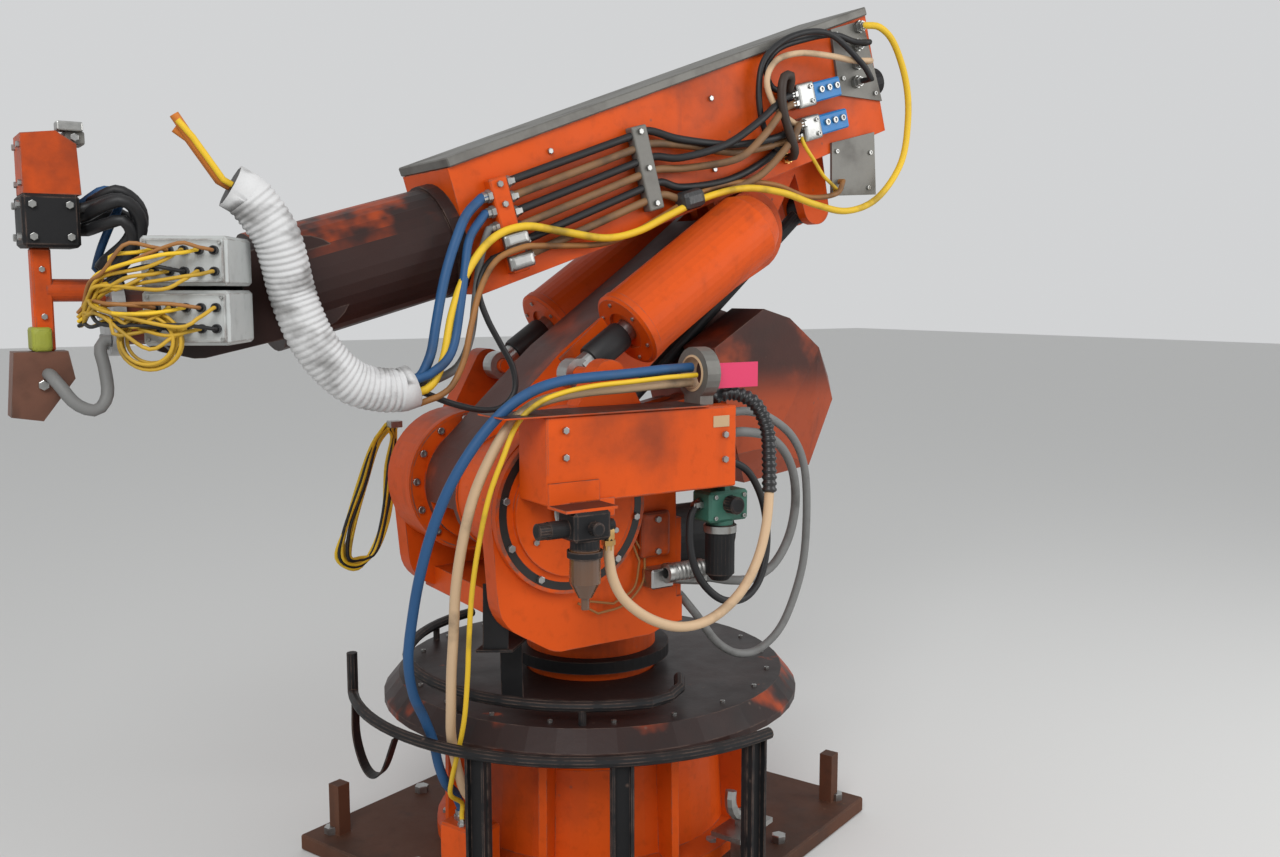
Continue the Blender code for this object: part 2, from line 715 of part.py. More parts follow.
def make_lower_arm():
    half = ARM_HALF_WIDTH
    waist, neck = (0.055, 0.32, ARM_SPAN_RADIUS), (0.035, 0.7, 0.085)
    root_part = plate([(0, 0, ARM_HUB_RADIUS), waist], -half, half, sides=32)
    span_part = plate([waist, neck], -half, half, sides=32)
    top_part = plate([neck, (0, LOWER_ARM, ELBOW_RADIUS)], -half, half, sides=32)
    inside = half - ARM_WALL
    above = LOWER_ARM + 0.35
    back = [(-0.6, -0.3, 0.02), (-0.6, above, 0.02), (0.012, above, 0.02), (0.085, 0.55, 0.02), (0.085, 0.25, 0.02), (0.03, -0.3, 0.02)]
    channel = plate(back, -inside, inside)
    drums = [
        rod(ARM_HUB_RADIUS - 0.005, (0, half - 0.01, 0), (0, NEAR_CHEEK_IN - SEAT, 0), sides=48),
        rod(ARM_HUB_RADIUS - 0.01, (0, -half + 0.01, 0), (0, DRUM_FACE_Y - 0.01, 0), sides=48),
        rod(DRUM_RADIUS, (0, DRUM_FACE_Y, 0), (0, -FAR_CHEEK_IN + SEAT, 0), sides=48),
    ]
    trunnion_end = BALANCE_Y - BALANCE_RADIUS - SWEEP
    ahead, along = BALANCE_PIN_AHEAD, BALANCE_PIN_ALONG
    trunnions = [
        rod(BALANCE_TRUNNION, (ahead, side * (half - 0.01), along), (ahead, side * trunnion_end, along))
        for side in (1, -1)
    ]
    cuts = [
        channel,
        rod(LINK_HUB_RADIUS + 0.008, (0, -inside, 0), (0, inside, 0), sides=32),
        span((-0.3, -inside, LOWER_ARM - ELBOW_SLOT_DEPTH), (0.3, inside, LOWER_ARM + 0.3)),
        rod(HUB_SHAFT_RADIUS + PIN_FIT, (0, half - 0.03, 0), (0, -0.4, 0), sides=32),
        rod(ELBOW_PIN_RADIUS + PIN_FIT, (0, -0.2, LOWER_ARM), (0, 0.2, LOWER_ARM), sides=32),
    ]
    made = combine(root_part, [span_part, top_part] + drums, "UNION")
    made = combine(made, cuts, "DIFFERENCE")
    piece("lower_arm", [made] + trunnions, "dark_grease", at=SHOULDER, turn=(0, LEAN, 0))
    shaft = rod(ELBOW_PIN_RADIUS, (0, -half - SWEEP, 0), (0, half + SWEEP, 0), sides=32)
    piece("elbow_shaft", [shaft], "steel", at=ELBOW)


def make_linkage():
    """The lever beside the shoulder with its counterweight, and the tie rod up to the housing."""
    rear_end = WEIGHT_FRONT + SEAT
    fork = [
        plate([(0, 0, LINK_HUB_RADIUS), (-LEVER, 0, 0.05), (rear_end + 0.06, -0.02, 0.06)], side * FORK_IN, side * FORK_OUT)
        for side in (1, -1)
    ]
    hub = rod(LINK_HUB_RADIUS - 0.001, (0, -FORK_OUT + 0.003, 0), (0, FORK_OUT - 0.003, 0), sides=32)
    rear = span((rear_end, -FORK_OUT + 0.004, -0.065), (rear_end + 0.18, FORK_OUT - 0.004, 0.03))
    shaft = rod(HUB_SHAFT_RADIUS, (0, -FORK_OUT + 0.01, 0), (0, -FAR_CHEEK_IN + SEAT, 0), sides=32)
    bore = rod(LINK_PIN_RADIUS + PIN_FIT, (-LEVER, -0.2, 0), (-LEVER, 0.2, 0))
    lever_bits = [hub] + fork + [rear, shaft]
    piece("parallel_arm", lever_bits, "orange", cuts=[bore], at=SHOULDER, turn=(0, PITCH, 0))
    face = [(0, 0.165), (-0.18, 0.215), (-0.258, 0.167), (-0.336, 0.062), (-0.255, -0.012), (-0.106, -0.139), (0, -0.12)]
    tail = [(-0.42, -0.05), (-0.42, -0.12), (-0.29, -0.27), (-0.06, -0.235)]
    points = [
        Vector((WEIGHT_FRONT + x, side * half, z))
        for outline, half in ((face, WEIGHT_HALF_WIDTH), (tail, WEIGHT_TAIL_HALF_WIDTH))
        for x, z in outline
        for side in (1, -1)
    ]
    room = TIE_EYE_RADIUS - TIE_RADIUS
    slot = box(
        (2.0, 2 * TIE_SLOT_HALF_WIDTH, 0.4),
        Vector((-LEVER, 0, 0)) + tilted(LEAST_LINK_ANGLE, (0, 0, 0.2 - TIE_RADIUS - room / 2)),
        turn=(0, LEAST_LINK_ANGLE, 0),
    )
    piece("counterweight", [hull(points)], "dark_grease", cuts=[slot], at=SHOULDER, turn=(0, PITCH, 0))
    link = SHOULDER + tilted(PITCH, (-LEVER, 0, 0))
    pin_half = FORK_OUT + 0.004
    piece("link_pin", [rod(LINK_PIN_RADIUS, (0, -pin_half, 0), (0, pin_half, 0))], "steel", at=link)
    width = TIE_HALF_WIDTH
    piece(
        "tie_rod",
        [
            rod(TIE_EYE_RADIUS, (0, -width, 0), (0, width, 0)),
            rod(TIE_RADIUS, (0, 0, 0.02), (0, 0, LOWER_ARM - 0.02), sides=16),
            rod(TIE_EYE_RADIUS - 0.002, (0, -width, LOWER_ARM), (0, width, LOWER_ARM)),
        ],
        "black",
        cuts=[
            rod(LINK_PIN_RADIUS + PIN_FIT, (0, -0.1, 0), (0, 0.1, 0)),
            rod(LINK_PIN_RADIUS + TIE_EYE_PLAY, (0, -0.1, LOWER_ARM), (0, 0.1, LOWER_ARM)),
        ],
        at=link,
        turn=(0, LEAN, 0),
    )


def make_balancers():
    reach = BALANCE_PIN - FRAME_PIN
    turn = (0, math.atan2(reach.x, reach.z), 0)
    mouth = BALANCE_HEAD - BALANCE_LENGTH
    head, bore = BALANCE_HEAD, BALANCE_RADIUS - BALANCE_WALL
    gland = BALANCE_ROD_RADIUS + PIN_FIT
    for side, y in (("left", BALANCE_Y), ("right", -BALANCE_Y)):
        across = Vector((0, y, 0))
        eye = rod(0.036, (0, -0.022, 0), (0, 0.022, 0))
        stem = rod(BALANCE_ROD_RADIUS, (0, 0, 0.02), (0, 0, reach.length + head - BALANCE_WALL - BALANCE_ROD_END))
        piece(
            "balance_rod_" + side,
            [eye, stem],
            "steel",
            cuts=[rod(FRAME_PIN_RADIUS + PIN_FIT, (0, -0.1, 0), (0, 0.1, 0))],
            at=SHOULDER + FRAME_PIN + across,
            turn=turn,
        )
        shell = turned(
            [
                (gland, mouth),
                (BALANCE_RADIUS - 0.01, mouth),
                (BALANCE_RADIUS, mouth + 0.01),
                (BALANCE_RADIUS, head - 0.07),
                (BALANCE_RADIUS - 0.02, head - 0.03),
                (BALANCE_RADIUS - 0.05, head - 0.006),
                (0, head),
                (0, head - BALANCE_WALL),
                (bore - 0.035, head - BALANCE_WALL - 0.01),
                (bore, head - 0.07),
                (bore, mouth + 0.03),
                (gland, mouth + 0.03),
            ],
            sides=36,
        )
        piece("balance_cylinder_" + side, [shell], "orange", at=SHOULDER + BALANCE_PIN + across, turn=turn)


def make_upper_arm():
    half, up = HOUSING_HALF_WIDTH, UPPER_OFFSET
    rear, front = HOUSING_REAR, HOUSING_FRONT
    top_rear, top_front = up + HOUSING_TOP_REAR, up + HOUSING_TOP_FRONT
    side_outline = [
        (rear, top_rear), (rear, 0.155), (0.02, 0.142), (0.42, 0.085), (front, 0.065), (front, top_front)
    ]
    housing = hull([Vector((x, side * half, z)) for x, z in side_outline for side in (1, -1)])
    lugs = []
    for side in (1, -1):
        lugs.append(plate([(0, 0, 0.07), (0, 0.17, 0.09), (-0.20, 0.17, 0.05)], side * FORK_IN, side * FORK_OUT))
        lugs.append(plate([(-LEVER, 0, 0.045), (-LEVER, 0.18, 0.06)], side * FORK_IN, side * FORK_OUT))
    bore = rod(ELBOW_PIN_RADIUS + PIN_FIT, (0, -0.2, 0), (0, 0.2, 0), sides=32)
    rear_pin = rod(LINK_PIN_RADIUS, (-LEVER, -FORK_OUT + 0.002, 0), (-LEVER, FORK_OUT - 0.002, 0))
    made = combine(combine(housing, lugs, "UNION"), [bore], "DIFFERENCE")
    place = {"at": ELBOW, "turn": (0, PITCH, 0)}
    piece("arm_housing", [made, rear_pin], "orange", **place)
    fall = math.atan2(top_rear - top_front, front - rear)
    length = math.hypot(front - rear, top_rear - top_front)
    middle = Vector(((rear + front) / 2, 0, (top_rear + top_front) / 2))
    lift = tilted(fall, (0, 0, TOP_STRIP_THICK / 2 + SEAT))
    strip = box((length, 2 * (half + TOP_STRIP_LIP), TOP_STRIP_THICK), middle + lift, turn=(0, fall, 0), soft=0.003)
    piece("top_flange", [strip], "grey_cast", **place)
    make_arm_plates(place, half, up)
    make_hose_rack(place, half, up)
    make_wrist_motors(place, up)


def side_plate(outline, half):
    """A flat plate on the housing's left side, from its corners (x, z)."""
    return hull([Vector((x, y, z)) for x, z in outline for y in (half + SEAT, half + SIDE_PLATE)])


def make_arm_plates(place, half, up):
    rear = HOUSING_REAR
    gland_outline = [(rear + 0.14, up + 0.255), (rear + 0.02, up + 0.26), (rear, up + 0.04), (rear + 0.15, up + 0.085)]
    piece("gland_plate", [side_plate(gland_outline, half)], "grey_cast", **place)
    bracket_outline = [(rear + 0.21, 0.165), (rear + 0.05, 0.16), (rear + 0.085, -0.005), (rear + 0.245, 0.03)]
    piece("lower_bracket", [side_plate(bracket_outline, half)], "grey_cast", **place)
    for k, (x, z) in enumerate(((rear + 0.17, up + 0.085), (rear + 0.165, up + 0.0))):
        body = span((x, half + SEAT, z), (x + 0.16, half + 0.04, z + 0.05), soft=0.004)
        piece("valve_block_%d" % (k + 1), [body], "blue", **place)


def make_hose_rack(place, half, up):
    """Six straight hoses across the panel, held by a clamp at each end."""
    depth = half + RACK_CLAMP_DEEP
    front_clamp = span((RACK_FRONT_X, half + SEAT, up - 0.105), (RACK_FRONT_X + RACK_CLAMP_WIDE, depth, up + 0.11), soft=0.003)
    piece("front_clamp", [front_clamp], "orange", **place)
    rear_clamp = span((RACK_REAR_X, half + SEAT, up - 0.06), (RACK_REAR_X + RACK_CLAMP_WIDE, depth, up + 0.14), soft=0.003)
    hoses = []
    for k in range(RACK_HOSE_COUNT):
        y = half + RACK_STAND_OFF
        rear_end = (RACK_REAR_X + 0.02, y, up + 0.123 - 0.031 * k)
        front_end = (RACK_FRONT_X - 0.0015, y, up + 0.095 - 0.034 * k)
        hoses.append(rod(RACK_HOSE_RADIUS, rear_end, front_end, sides=12))
    piece("hose_rack", [rear_clamp] + hoses, "grey_cast", **place)


def make_wrist_motors(place, up):
    """Three motors on one plate at the housing's rear end."""
    rear = HOUSING_REAR - SEAT
    bits = [span((rear - 0.014, -0.115, up - 0.02), (rear, 0.06, up + 0.20), soft=0.002)]
    for y, z in ((-0.065, 0.135), (-0.065, 0.035), (0.018, 0.09)):
        bits.append(rod(0.038, (rear - 0.01, y, up + z), (rear - 0.10, y, up + z)))
    piece("wrist_motors", bits, "black", **place)


def make_forearm():
    up = UPPER_OFFSET
    place = {"at": ELBOW, "turn": (0, PITCH, 0)}
    start = HOUSING_FRONT + SEAT
    cheeks = [
        plate([(WRIST_REACH, up, 0.085), (FOREARM_END - 0.05, up, 0.10)], side * FORK_CHEEK_IN, side * FORK_CHEEK_OUT)
        for side in (1, -1)
    ]
    hose_side = 0.2 - DRESS_HOSE_RADIUS
    clip = span((FOREARM_END - 0.03, 0.09, up - 0.02), (FOREARM_END, hose_side - SEAT, up + 0.02))
    bore = rod(WRIST_PIN_RADIUS + PIN_FIT, (WRIST_REACH, -0.2, up), (WRIST_REACH, 0.2, up))
    piece(
        "forearm",
        [
            rod(FOREARM_RADIUS, (start, 0, up), (start + 0.03, 0, up), sides=32),
            rod(FOREARM_RADIUS - 0.006, (start + 0.02, 0, up), (FOREARM_END - 0.02, 0, up), sides=32),
            rod(FOREARM_RADIUS - 0.001, (FOREARM_END - 0.035, 0, up), (FOREARM_END + 0.02, 0, up), sides=32),
            clip,
        ]
        + cheeks,
        "dark_grease",
        cuts=[bore],
        **place,
    )
    place = {"at": WRIST, "turn": (0, PITCH + WRIST_BEND, 0)}
    piece(
        "wrist",
        [
            rod(FORK_CHEEK_IN - 0.003, (0, -FORK_CHEEK_IN + 0.001, 0), (0, FORK_CHEEK_IN - 0.001, 0), sides=32),
            rod(WRIST_PIN_RADIUS, (0, -WRIST_PIN_HALF, 0), (0, WRIST_PIN_HALF, 0)),
            rod(0.058, (0, 0, 0), (FLANGE_REACH, 0, 0), sides=32),
        ],
        "dark_grease",
        **place,
    )
    flange = rod(TOOL_FLANGE_RADIUS, (FLANGE_REACH + SEAT, 0, 0), (FLANGE_REACH + TOOL_FLANGE_THICK, 0, 0), sides=48)
    piece("tool_flange", [flange], "steel", **place)
    make_tool(place)
    make_wrist_boxes(place)


def make_tool(place):
    face, post = FLANGE_REACH + TOOL_FLANGE_THICK + SEAT, TOOL_POST_X
    piece(
        "tool_frame",
        [
            rod(0.022, (face, 0, 0.05), (post + 0.01, 0, 0.05)),
            span((post, -0.02, -0.066), (post + 0.035, 0.02, 0.13), soft=0.003),
        ],
        "orange",
        **place,
    )
    clamp = span((post - 0.05, -0.055, 0.13 + SEAT), (post + 0.05, 0.055, 0.23), soft=0.006)
    piece("tool_clamp", [clamp], "black", **place)
    block_outline = [(-0.055, 0.23 + SEAT), (-0.05, 0.325), (-0.015, 0.348), (0.045, 0.34), (0.045, 0.23 + SEAT)]
    block = hull([Vector((post + x, y, z)) for x, z in block_outline for y in (-0.05, 0.05)])
    piece("tool_block", [block], "orange", **place)
    bracket_outline = [(-0.02, -0.066 - SEAT), (0.075, -0.066 - SEAT), (0.085, -0.19), (0.03, -0.20), (-0.03, -0.12)]
    bracket = hull([Vector((post + x, y, z)) for x, z in bracket_outline for y in (-0.03, 0.03)])
    piece("tool_bracket", [bracket], "dark_grease", **place)


def make_wrist_boxes(place):
    """Two junction boxes on a bracket at the wrist's left, turned towards the robot's front, and a coil of cable."""
    turn = Euler((0, 0, BOX_TURN)).to_matrix()
    left, right = BOX_WIDE
    back, front = BOX_BACK, BOX_BACK + BOX_DEPTH

    def turned_box(low, high, soft=0.0):
        middle = (Vector(low) + Vector(high)) / 2
        return box(Vector(high) - Vector(low), turn @ middle, turn=(0, 0, BOX_TURN), soft=soft)

    piece("junction_box_1", [turned_box((left, back, 0.058), (right, front, 0.148), soft=0.006)], "box_grey", **place)
    piece("junction_box_2", [turned_box((left, back, -0.05), (right, front, 0.05), soft=0.006)], "box_grey", **place)
    stud_x, stud_z = -0.06, 0.03
    piece(
        "box_bracket",
        [
            turned_box((left + 0.02, back - 0.011, -0.05), (right - 0.025, back - SEAT, 0.147)),
            rod(0.018, (stud_x, 0.161, stud_z), (stud_x, FORK_CHEEK_OUT + SEAT, stud_z)),
        ],
        "black",
        **place,
    )
    middle = Vector((right - 0.02, front + COIL_BAND + SEAT, -0.04))
    ring = [
        turn @ (middle + Vector((COIL_RADIUS * math.cos(angle), 0, COIL_RADIUS * math.sin(angle))))
        for angle in (2 * math.pi * k / 20 for k in range(20))
    ]
    piece("cable_coil", [tube(ring, COIL_BAND, smooth=False, closed=True)], "rubber_yellow", **place)


def make_hoses():
    """The free hoses and cables. Each route is a list of points chosen along the real one."""
    arm = {"at": ELBOW, "turn": (0, PITCH, 0)}
    yellow = [
        (-0.456, 0.1333, 0.44), (-0.456, 0.16, 0.44), (-0.50, 0.172, 0.425), (-0.542, 0.172, 0.374), (-0.564, 0.17, 0.271),
        (-0.55, 0.168, 0.17), (-0.495, 0.168, 0.062), (-0.382, 0.17, -0.009), (-0.259, 0.175, -0.015), (-0.15, 0.175, 0.03),
        (-0.054, 0.175, 0.083), (0.06, 0.175, 0.122), (0.18, 0.172, 0.13), (0.30, 0.168, 0.115), (0.40, 0.165, 0.10),
        (0.494, 0.165, 0.108), (0.60, 0.168, 0.15), (0.70, 0.172, 0.188), (0.786, 0.172, 0.18), (0.87, 0.178, 0.124),
        (0.93, 0.185, 0.053), (0.98, 0.20, -0.025), (1.02, 0.208, -0.067), (1.045, 0.21, -0.078), (1.0697, 0.21, -0.078),
    ]
    hose("yellow_cable", yellow, CABLE_RADIUS, "rubber_yellow", **arm)
    feed = [
        (0.7455, 0.143, 0.27), (0.768, 0.143, 0.27), (0.82, 0.155, 0.245), (0.865, 0.165, 0.20), (0.905, 0.172, 0.15),
        (0.937, 0.176, 0.10), (0.972, 0.182, 0.04), (1.00, 0.186, -0.01), (1.03, 0.19, -0.043), (1.045, 0.192, -0.052), (1.0697, 0.192, -0.052),
    ]
    hose("feed_hose", feed, HOSE_RADIUS, "rubber_blue", **arm)
    dress = [
        (1.07, 0.2, -0.063), (1.095, 0.2, -0.063), (1.14, 0.2, -0.047), (1.19, 0.2, -0.014), (1.225, 0.2, 0.04), (1.245, 0.2, 0.097),
        (1.252, 0.2, 0.15), (1.254, 0.201, 0.20), (1.254, 0.214, 0.262), (1.257, 0.222, 0.311), (1.27, 0.222, 0.357), (1.285, 0.22, 0.395), (1.31, 0.217, 0.42),
    ]
    hose("dress_hose", dress, DRESS_HOSE_RADIUS, "rubber_grey", **arm)
    make_frame_hoses()


def make_frame_hoses():
    block = Euler((0, 0, BASE_TURN)).to_matrix() @ Vector((TERMINAL_X, 0, TERMINAL_TOP)) - SHOULDER
    into = Euler((0, 0, BASE_TURN)).to_matrix() @ Vector((0, 0.028, 0))
    blue = [
        (-0.27, 0.43, 0.30), (-0.19, 0.432, 0.298), (-0.10, 0.437, 0.293), (0.0, 0.447, 0.29), (0.08, 0.456, 0.285),
        (0.15, 0.46, 0.267), (0.21, 0.455, 0.23), (0.262, 0.44, 0.17), (0.308, 0.42, 0.09), (0.335, 0.39, 0.0), (0.35, 0.355, -0.10), (0.35, 0.31, -0.20),
        (0.345, 0.27, -0.30), (0.32, 0.232, -0.39), (0.285, 0.208, -0.46), (0.26, 0.195, -0.52), (0.245, 0.187, -0.58),
        (0.225, 0.178, -0.63),
    ]
    blue += [block - into + Vector((0.02, 0.01, 0.07)), block - into + Vector((0, 0, 0.03)), block - into + Vector((0, 0, SEAT))]
    hose("box_hose_blue", blue, HOSE_RADIUS, "rubber_blue", at=SHOULDER)
    beige = [
        (-0.27, 0.43, 0.268), (-0.19, 0.43, 0.266), (-0.10, 0.43, 0.262), (0.0, 0.432, 0.259), (0.08, 0.44, 0.252),
        (0.14, 0.445, 0.237), (0.19, 0.443, 0.20), (0.228, 0.435, 0.14), (0.26, 0.42, 0.06), (0.275, 0.395, -0.04), (0.28, 0.37, -0.14), (0.275, 0.345, -0.24),
        (0.27, 0.32, -0.33), (0.26, 0.292, -0.42), (0.25, 0.268, -0.48), (0.235, 0.25, -0.54), (0.215, 0.232, -0.60), (0.195, 0.215, -0.645),
    ]
    beige += [block + into + Vector((0.015, 0.015, 0.06)), block + into + Vector((0, 0, 0.025)), block + into + Vector((0, 0, SEAT))]
    hose("box_hose_beige", beige, HOSE_RADIUS, "rubber_beige", at=SHOULDER)
    x, y, z = FILTER_PLACE
    loop = [
        (x - 0.056, y, z - 0.02 - SEAT), (x - 0.056, y, z - 0.05), (x - 0.066, y, z - 0.10), (x - 0.095, y, z - 0.15),
        (-0.078, 0.55, -0.213), (-0.158, 0.55, -0.243), (-0.243, 0.545, -0.239), (-0.323, 0.54, -0.197), (-0.375, 0.535, -0.134),
        (-0.405, 0.53, -0.06), (-0.418, 0.525, 0.02), (-0.425, 0.515, 0.09), (-0.43, 0.50, 0.16), (-0.415, 0.475, 0.215),
        (-0.38, 0.445, 0.238), (-0.345, 0.43, 0.234), (RING_PLACE.x - RING_THICK / 2 - SEAT, 0.43, 0.234),
    ]
    hose("filter_hose", loop, HOSE_RADIUS, "rubber_beige", at=SHOULDER)
    rear = [
        (-0.3385, 0.3754, -0.1951), (-0.3685, 0.3773, -0.199), (-0.43, 0.372, -0.215), (-0.50, 0.365, -0.222), (-0.57, 0.36, -0.20),
        (-0.62, 0.358, -0.14), (-0.64, 0.36, -0.06), (-0.625, 0.37, 0.02), (-0.58, 0.385, 0.085), (-0.51, 0.405, 0.128),
        (-0.43, 0.425, 0.145), (-0.38, 0.43, 0.147), (TRAY_LOW.x - SEAT, 0.43, 0.147),
    ]
    hose("rear_hose", rear, HOSE_RADIUS, "rubber_grey", at=SHOULDER)


def main():
    clear_scene()
    mix_paints()
    make_base()
    make_frame()
    make_lower_arm()
    make_linkage()
    make_balancers()
    make_upper_arm()
    make_forearm()
    make_hoses()
    for left in list(HELPERS.objects):
        bpy.data.objects.remove(left)


main()
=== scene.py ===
"""The looks of an industrial robot arm: worn orange castings, greased arms, hoses and air fittings."""

import math

import bmesh
import bpy
from mathutils import Euler, Matrix, Vector


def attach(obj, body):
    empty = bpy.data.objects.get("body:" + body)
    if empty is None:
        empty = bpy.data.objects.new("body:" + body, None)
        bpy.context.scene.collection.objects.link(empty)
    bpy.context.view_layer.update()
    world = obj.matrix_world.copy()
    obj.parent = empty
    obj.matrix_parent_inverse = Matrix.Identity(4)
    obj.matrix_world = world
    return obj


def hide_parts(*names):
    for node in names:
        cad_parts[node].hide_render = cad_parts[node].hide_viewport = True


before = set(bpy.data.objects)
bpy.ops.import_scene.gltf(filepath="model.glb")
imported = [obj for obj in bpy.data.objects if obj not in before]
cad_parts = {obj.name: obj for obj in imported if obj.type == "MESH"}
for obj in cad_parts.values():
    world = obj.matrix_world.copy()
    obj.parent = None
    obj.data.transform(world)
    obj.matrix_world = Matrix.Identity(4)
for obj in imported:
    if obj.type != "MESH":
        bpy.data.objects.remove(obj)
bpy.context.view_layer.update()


# Camera: the photographer stood near the robot's left front corner, at head height, and looked
# slightly down.
lens = bpy.data.cameras.new("camera")
lens.sensor_width = 36
lens.lens = 33.47
camera = bpy.data.objects.new("camera", lens)
camera.location = (1.555, 2.555, 1.41)
camera.rotation_euler = (math.radians(83.36), 0, math.radians(146.25))
bpy.context.scene.collection.objects.link(camera)
bpy.context.scene.camera = camera
bpy.context.scene.view_settings.view_transform = "Standard"


# Studio: a plain pale floor, two broad soft lamps and a pale surround.
FLOOR_DROP = 0.0005
bpy.ops.object.select_all(action="DESELECT")
bpy.ops.mesh.primitive_plane_add(size=60, location=(0, 0, -FLOOR_DROP))
floor = bpy.context.object
floor.name = "floor"
floor_paint = bpy.data.materials.new("pale_floor")
floor_paint.use_nodes = True
floor_paint.node_tree.nodes["Principled BSDF"].inputs["Base Color"].default_value = (0.62, 0.62, 0.61, 1)
floor_paint.node_tree.nodes["Principled BSDF"].inputs["Roughness"].default_value = 0.8
floor.data.materials.append(floor_paint)
for name, power, size, spot, aim in (
    ("key_lamp", 170, 2.4, (3.2, 3.6, 4.2), (0.0, 0.0, 1.2)),
    ("fill_lamp", 80, 3.0, (-3.0, 3.2, 2.6), (0.0, 0.0, 1.2)),
):
    lamp_data = bpy.data.lights.new(name, "AREA")
    lamp_data.energy = power
    lamp_data.size = size
    lamp = bpy.data.objects.new(name, lamp_data)
    lamp.location = spot
    lamp.rotation_euler = (Vector(spot) - Vector(aim)).to_track_quat("Z", "Y").to_euler()
    bpy.context.scene.collection.objects.link(lamp)
surround = bpy.data.worlds.new("surround")
surround.use_nodes = True
surround.node_tree.nodes["Background"].inputs["Color"].default_value = (0.86, 0.87, 0.88, 1)
surround.node_tree.nodes["Background"].inputs["Strength"].default_value = 0.75
bpy.context.scene.world = surround


# The seven modelled hoses and cables: rubber and plastic lines of 18 and 22 mm, pushed onto barbed
# fittings.
# Their dull jackets are smeared with grease where hands and oil reach them.
SHOULDER = Vector((0.268, 0, 0.94))
ELBOW = Vector((-0.448974, 0, 1.563256))
WRIST = Vector((0.969767, 0, 1.359297))
LEAN = math.radians(-49)
PITCH = math.radians(16)
ON_FRAME = Matrix.Translation(SHOULDER)
ON_ARM = Matrix.Translation(ELBOW) @ Matrix.Rotation(PITCH, 4, "Y")
ON_LOWER = Matrix.Translation(SHOULDER) @ Matrix.Rotation(LEAN, 4, "Y")
ON_BASE = Matrix.Rotation(math.radians(20), 4, "Z")
ON_WRIST = Matrix.Translation(WRIST)


class Wire:
    """A value in a material: arithmetic on it adds Math nodes."""

    def __init__(self, finish, socket):
        self.finish = finish
        self.socket = socket

    def math(self, operation, *others):
        return self.finish.node("ShaderNodeMath", {"operation": operation}, *others)

    def __add__(self, other):
        return self.math("ADD", self, other)

    def __sub__(self, other):
        return self.math("SUBTRACT", self, other)

    def __rsub__(self, other):
        return self.math("SUBTRACT", other, self)

    def __mul__(self, other):
        return self.math("MULTIPLY", self, other)

    __radd__ = __add__
    __rmul__ = __mul__

    def band(self, low, high):
        """0 below low and 1 above high, with a soft step between them."""
        return self.finish.node(
            "ShaderNodeMapRange", {"interpolation_type": "SMOOTHSTEP", "clamp": True}, self, low, high,
            0.0, 1.0
        )


class Finish:
    """A material on one Principled shader, built node by node."""

    def __init__(self, name, **values):
        self.material = bpy.data.materials.new(name)
        self.material.use_nodes = True
        self.tree = self.material.node_tree
        self.shader = self.tree.nodes["Principled BSDF"]
        for socket, value in values.items():
            self.shader.inputs[socket.replace("_", " ")].default_value = value
        self.place = self.node("ShaderNodeTexCoord", {}, output="Object")

    def node(self, kind, settings, *values, output=None, **named):
        """Adds a node: its settings first, then the values or links of its sockets, in order or by name."""
        made = self.tree.nodes.new(kind)
        stops = settings.pop("stops", None)
        for key, value in settings.items():
            setattr(made, key, value)
        if stops:
            while len(made.color_ramp.elements) < len(stops):
                made.color_ramp.elements.new(0.5)
            for element, (position, colour) in zip(made.color_ramp.elements, stops):
                element.position = position
                element.color = colour
        usable = [socket for socket in made.inputs if socket.enabled]
        pairs = list(zip(usable, values)) + [(made.inputs[key], value) for key, value in named.items()]
        for socket, value in pairs:
            if isinstance(value, Wire):
                self.tree.links.new(value.socket, socket)
            elif value is not None:
                socket.default_value = value
        outputs = [socket for socket in made.outputs if socket.enabled]
        return Wire(self, made.outputs[output] if output else outputs[0])

    def noise(self, scale, detail=3.0, stretch=(1, 1, 1), roughness=0.55, shift=(0, 0, 0)):
        place = self.node("ShaderNodeMapping", {}, self.place, Scale=stretch, Location=shift)
        return self.node(
            "ShaderNodeTexNoise", {}, output="Fac", Vector=place, Scale=scale, Detail=detail,
            Roughness=roughness
        )

    def spots(self, scale, stretch=(1, 1, 1)):
        place = self.node("ShaderNodeMapping", {}, self.place, Scale=stretch)
        return self.node("ShaderNodeTexVoronoi", {}, output="Distance", Vector=place, Scale=scale)

    def axis(self, letter, normal=False):
        source = self.node("ShaderNodeTexCoord", {}, output="Normal") if normal else self.place
        return self.node("ShaderNodeSeparateXYZ", {}, source, output=letter)

    def blend(self, factor, low, high):
        return self.node("ShaderNodeMix", {"data_type": "RGBA"}, factor, low, high)

    def colour(self, value):
        self.tree.links.new(value.socket, self.shader.inputs["Base Color"])

    def rough(self, value):
        self.tree.links.new(value.socket, self.shader.inputs["Roughness"])

    def metal(self, value):
        self.tree.links.new(value.socket, self.shader.inputs["Metallic"])

    def bump(self, height, strength, depth):
        relief = self.node("ShaderNodeBump", {}, Height=height, Strength=strength, Distance=depth)
        self.tree.links.new(relief.socket, self.shader.inputs["Normal"])


def rgba(red, green, blue):
    return (red, green, blue, 1)


def jacket(name, colour, dirt=0.45, gloss=0.45):
    """A dull hose jacket with greasy smears along it."""
    finish = Finish(name, Specular_IOR_Level=0.4)
    smear = finish.noise(9, 5).band(0.62 - 0.3 * dirt, 0.78)
    shade = finish.blend(
        finish.noise(3, 2), rgba(*(c * 0.8 for c in colour)), rgba(*(min(1, c * 1.15) for c in colour))
    )
    finish.colour(finish.blend(smear * (0.55 + 0.4 * dirt), shade, rgba(0.03, 0.025, 0.02)))
    finish.rough(gloss + 0.25 * finish.noise(30, 3))
    finish.bump(finish.noise(220, 2), 0.25, 0.0004)
    return finish.material


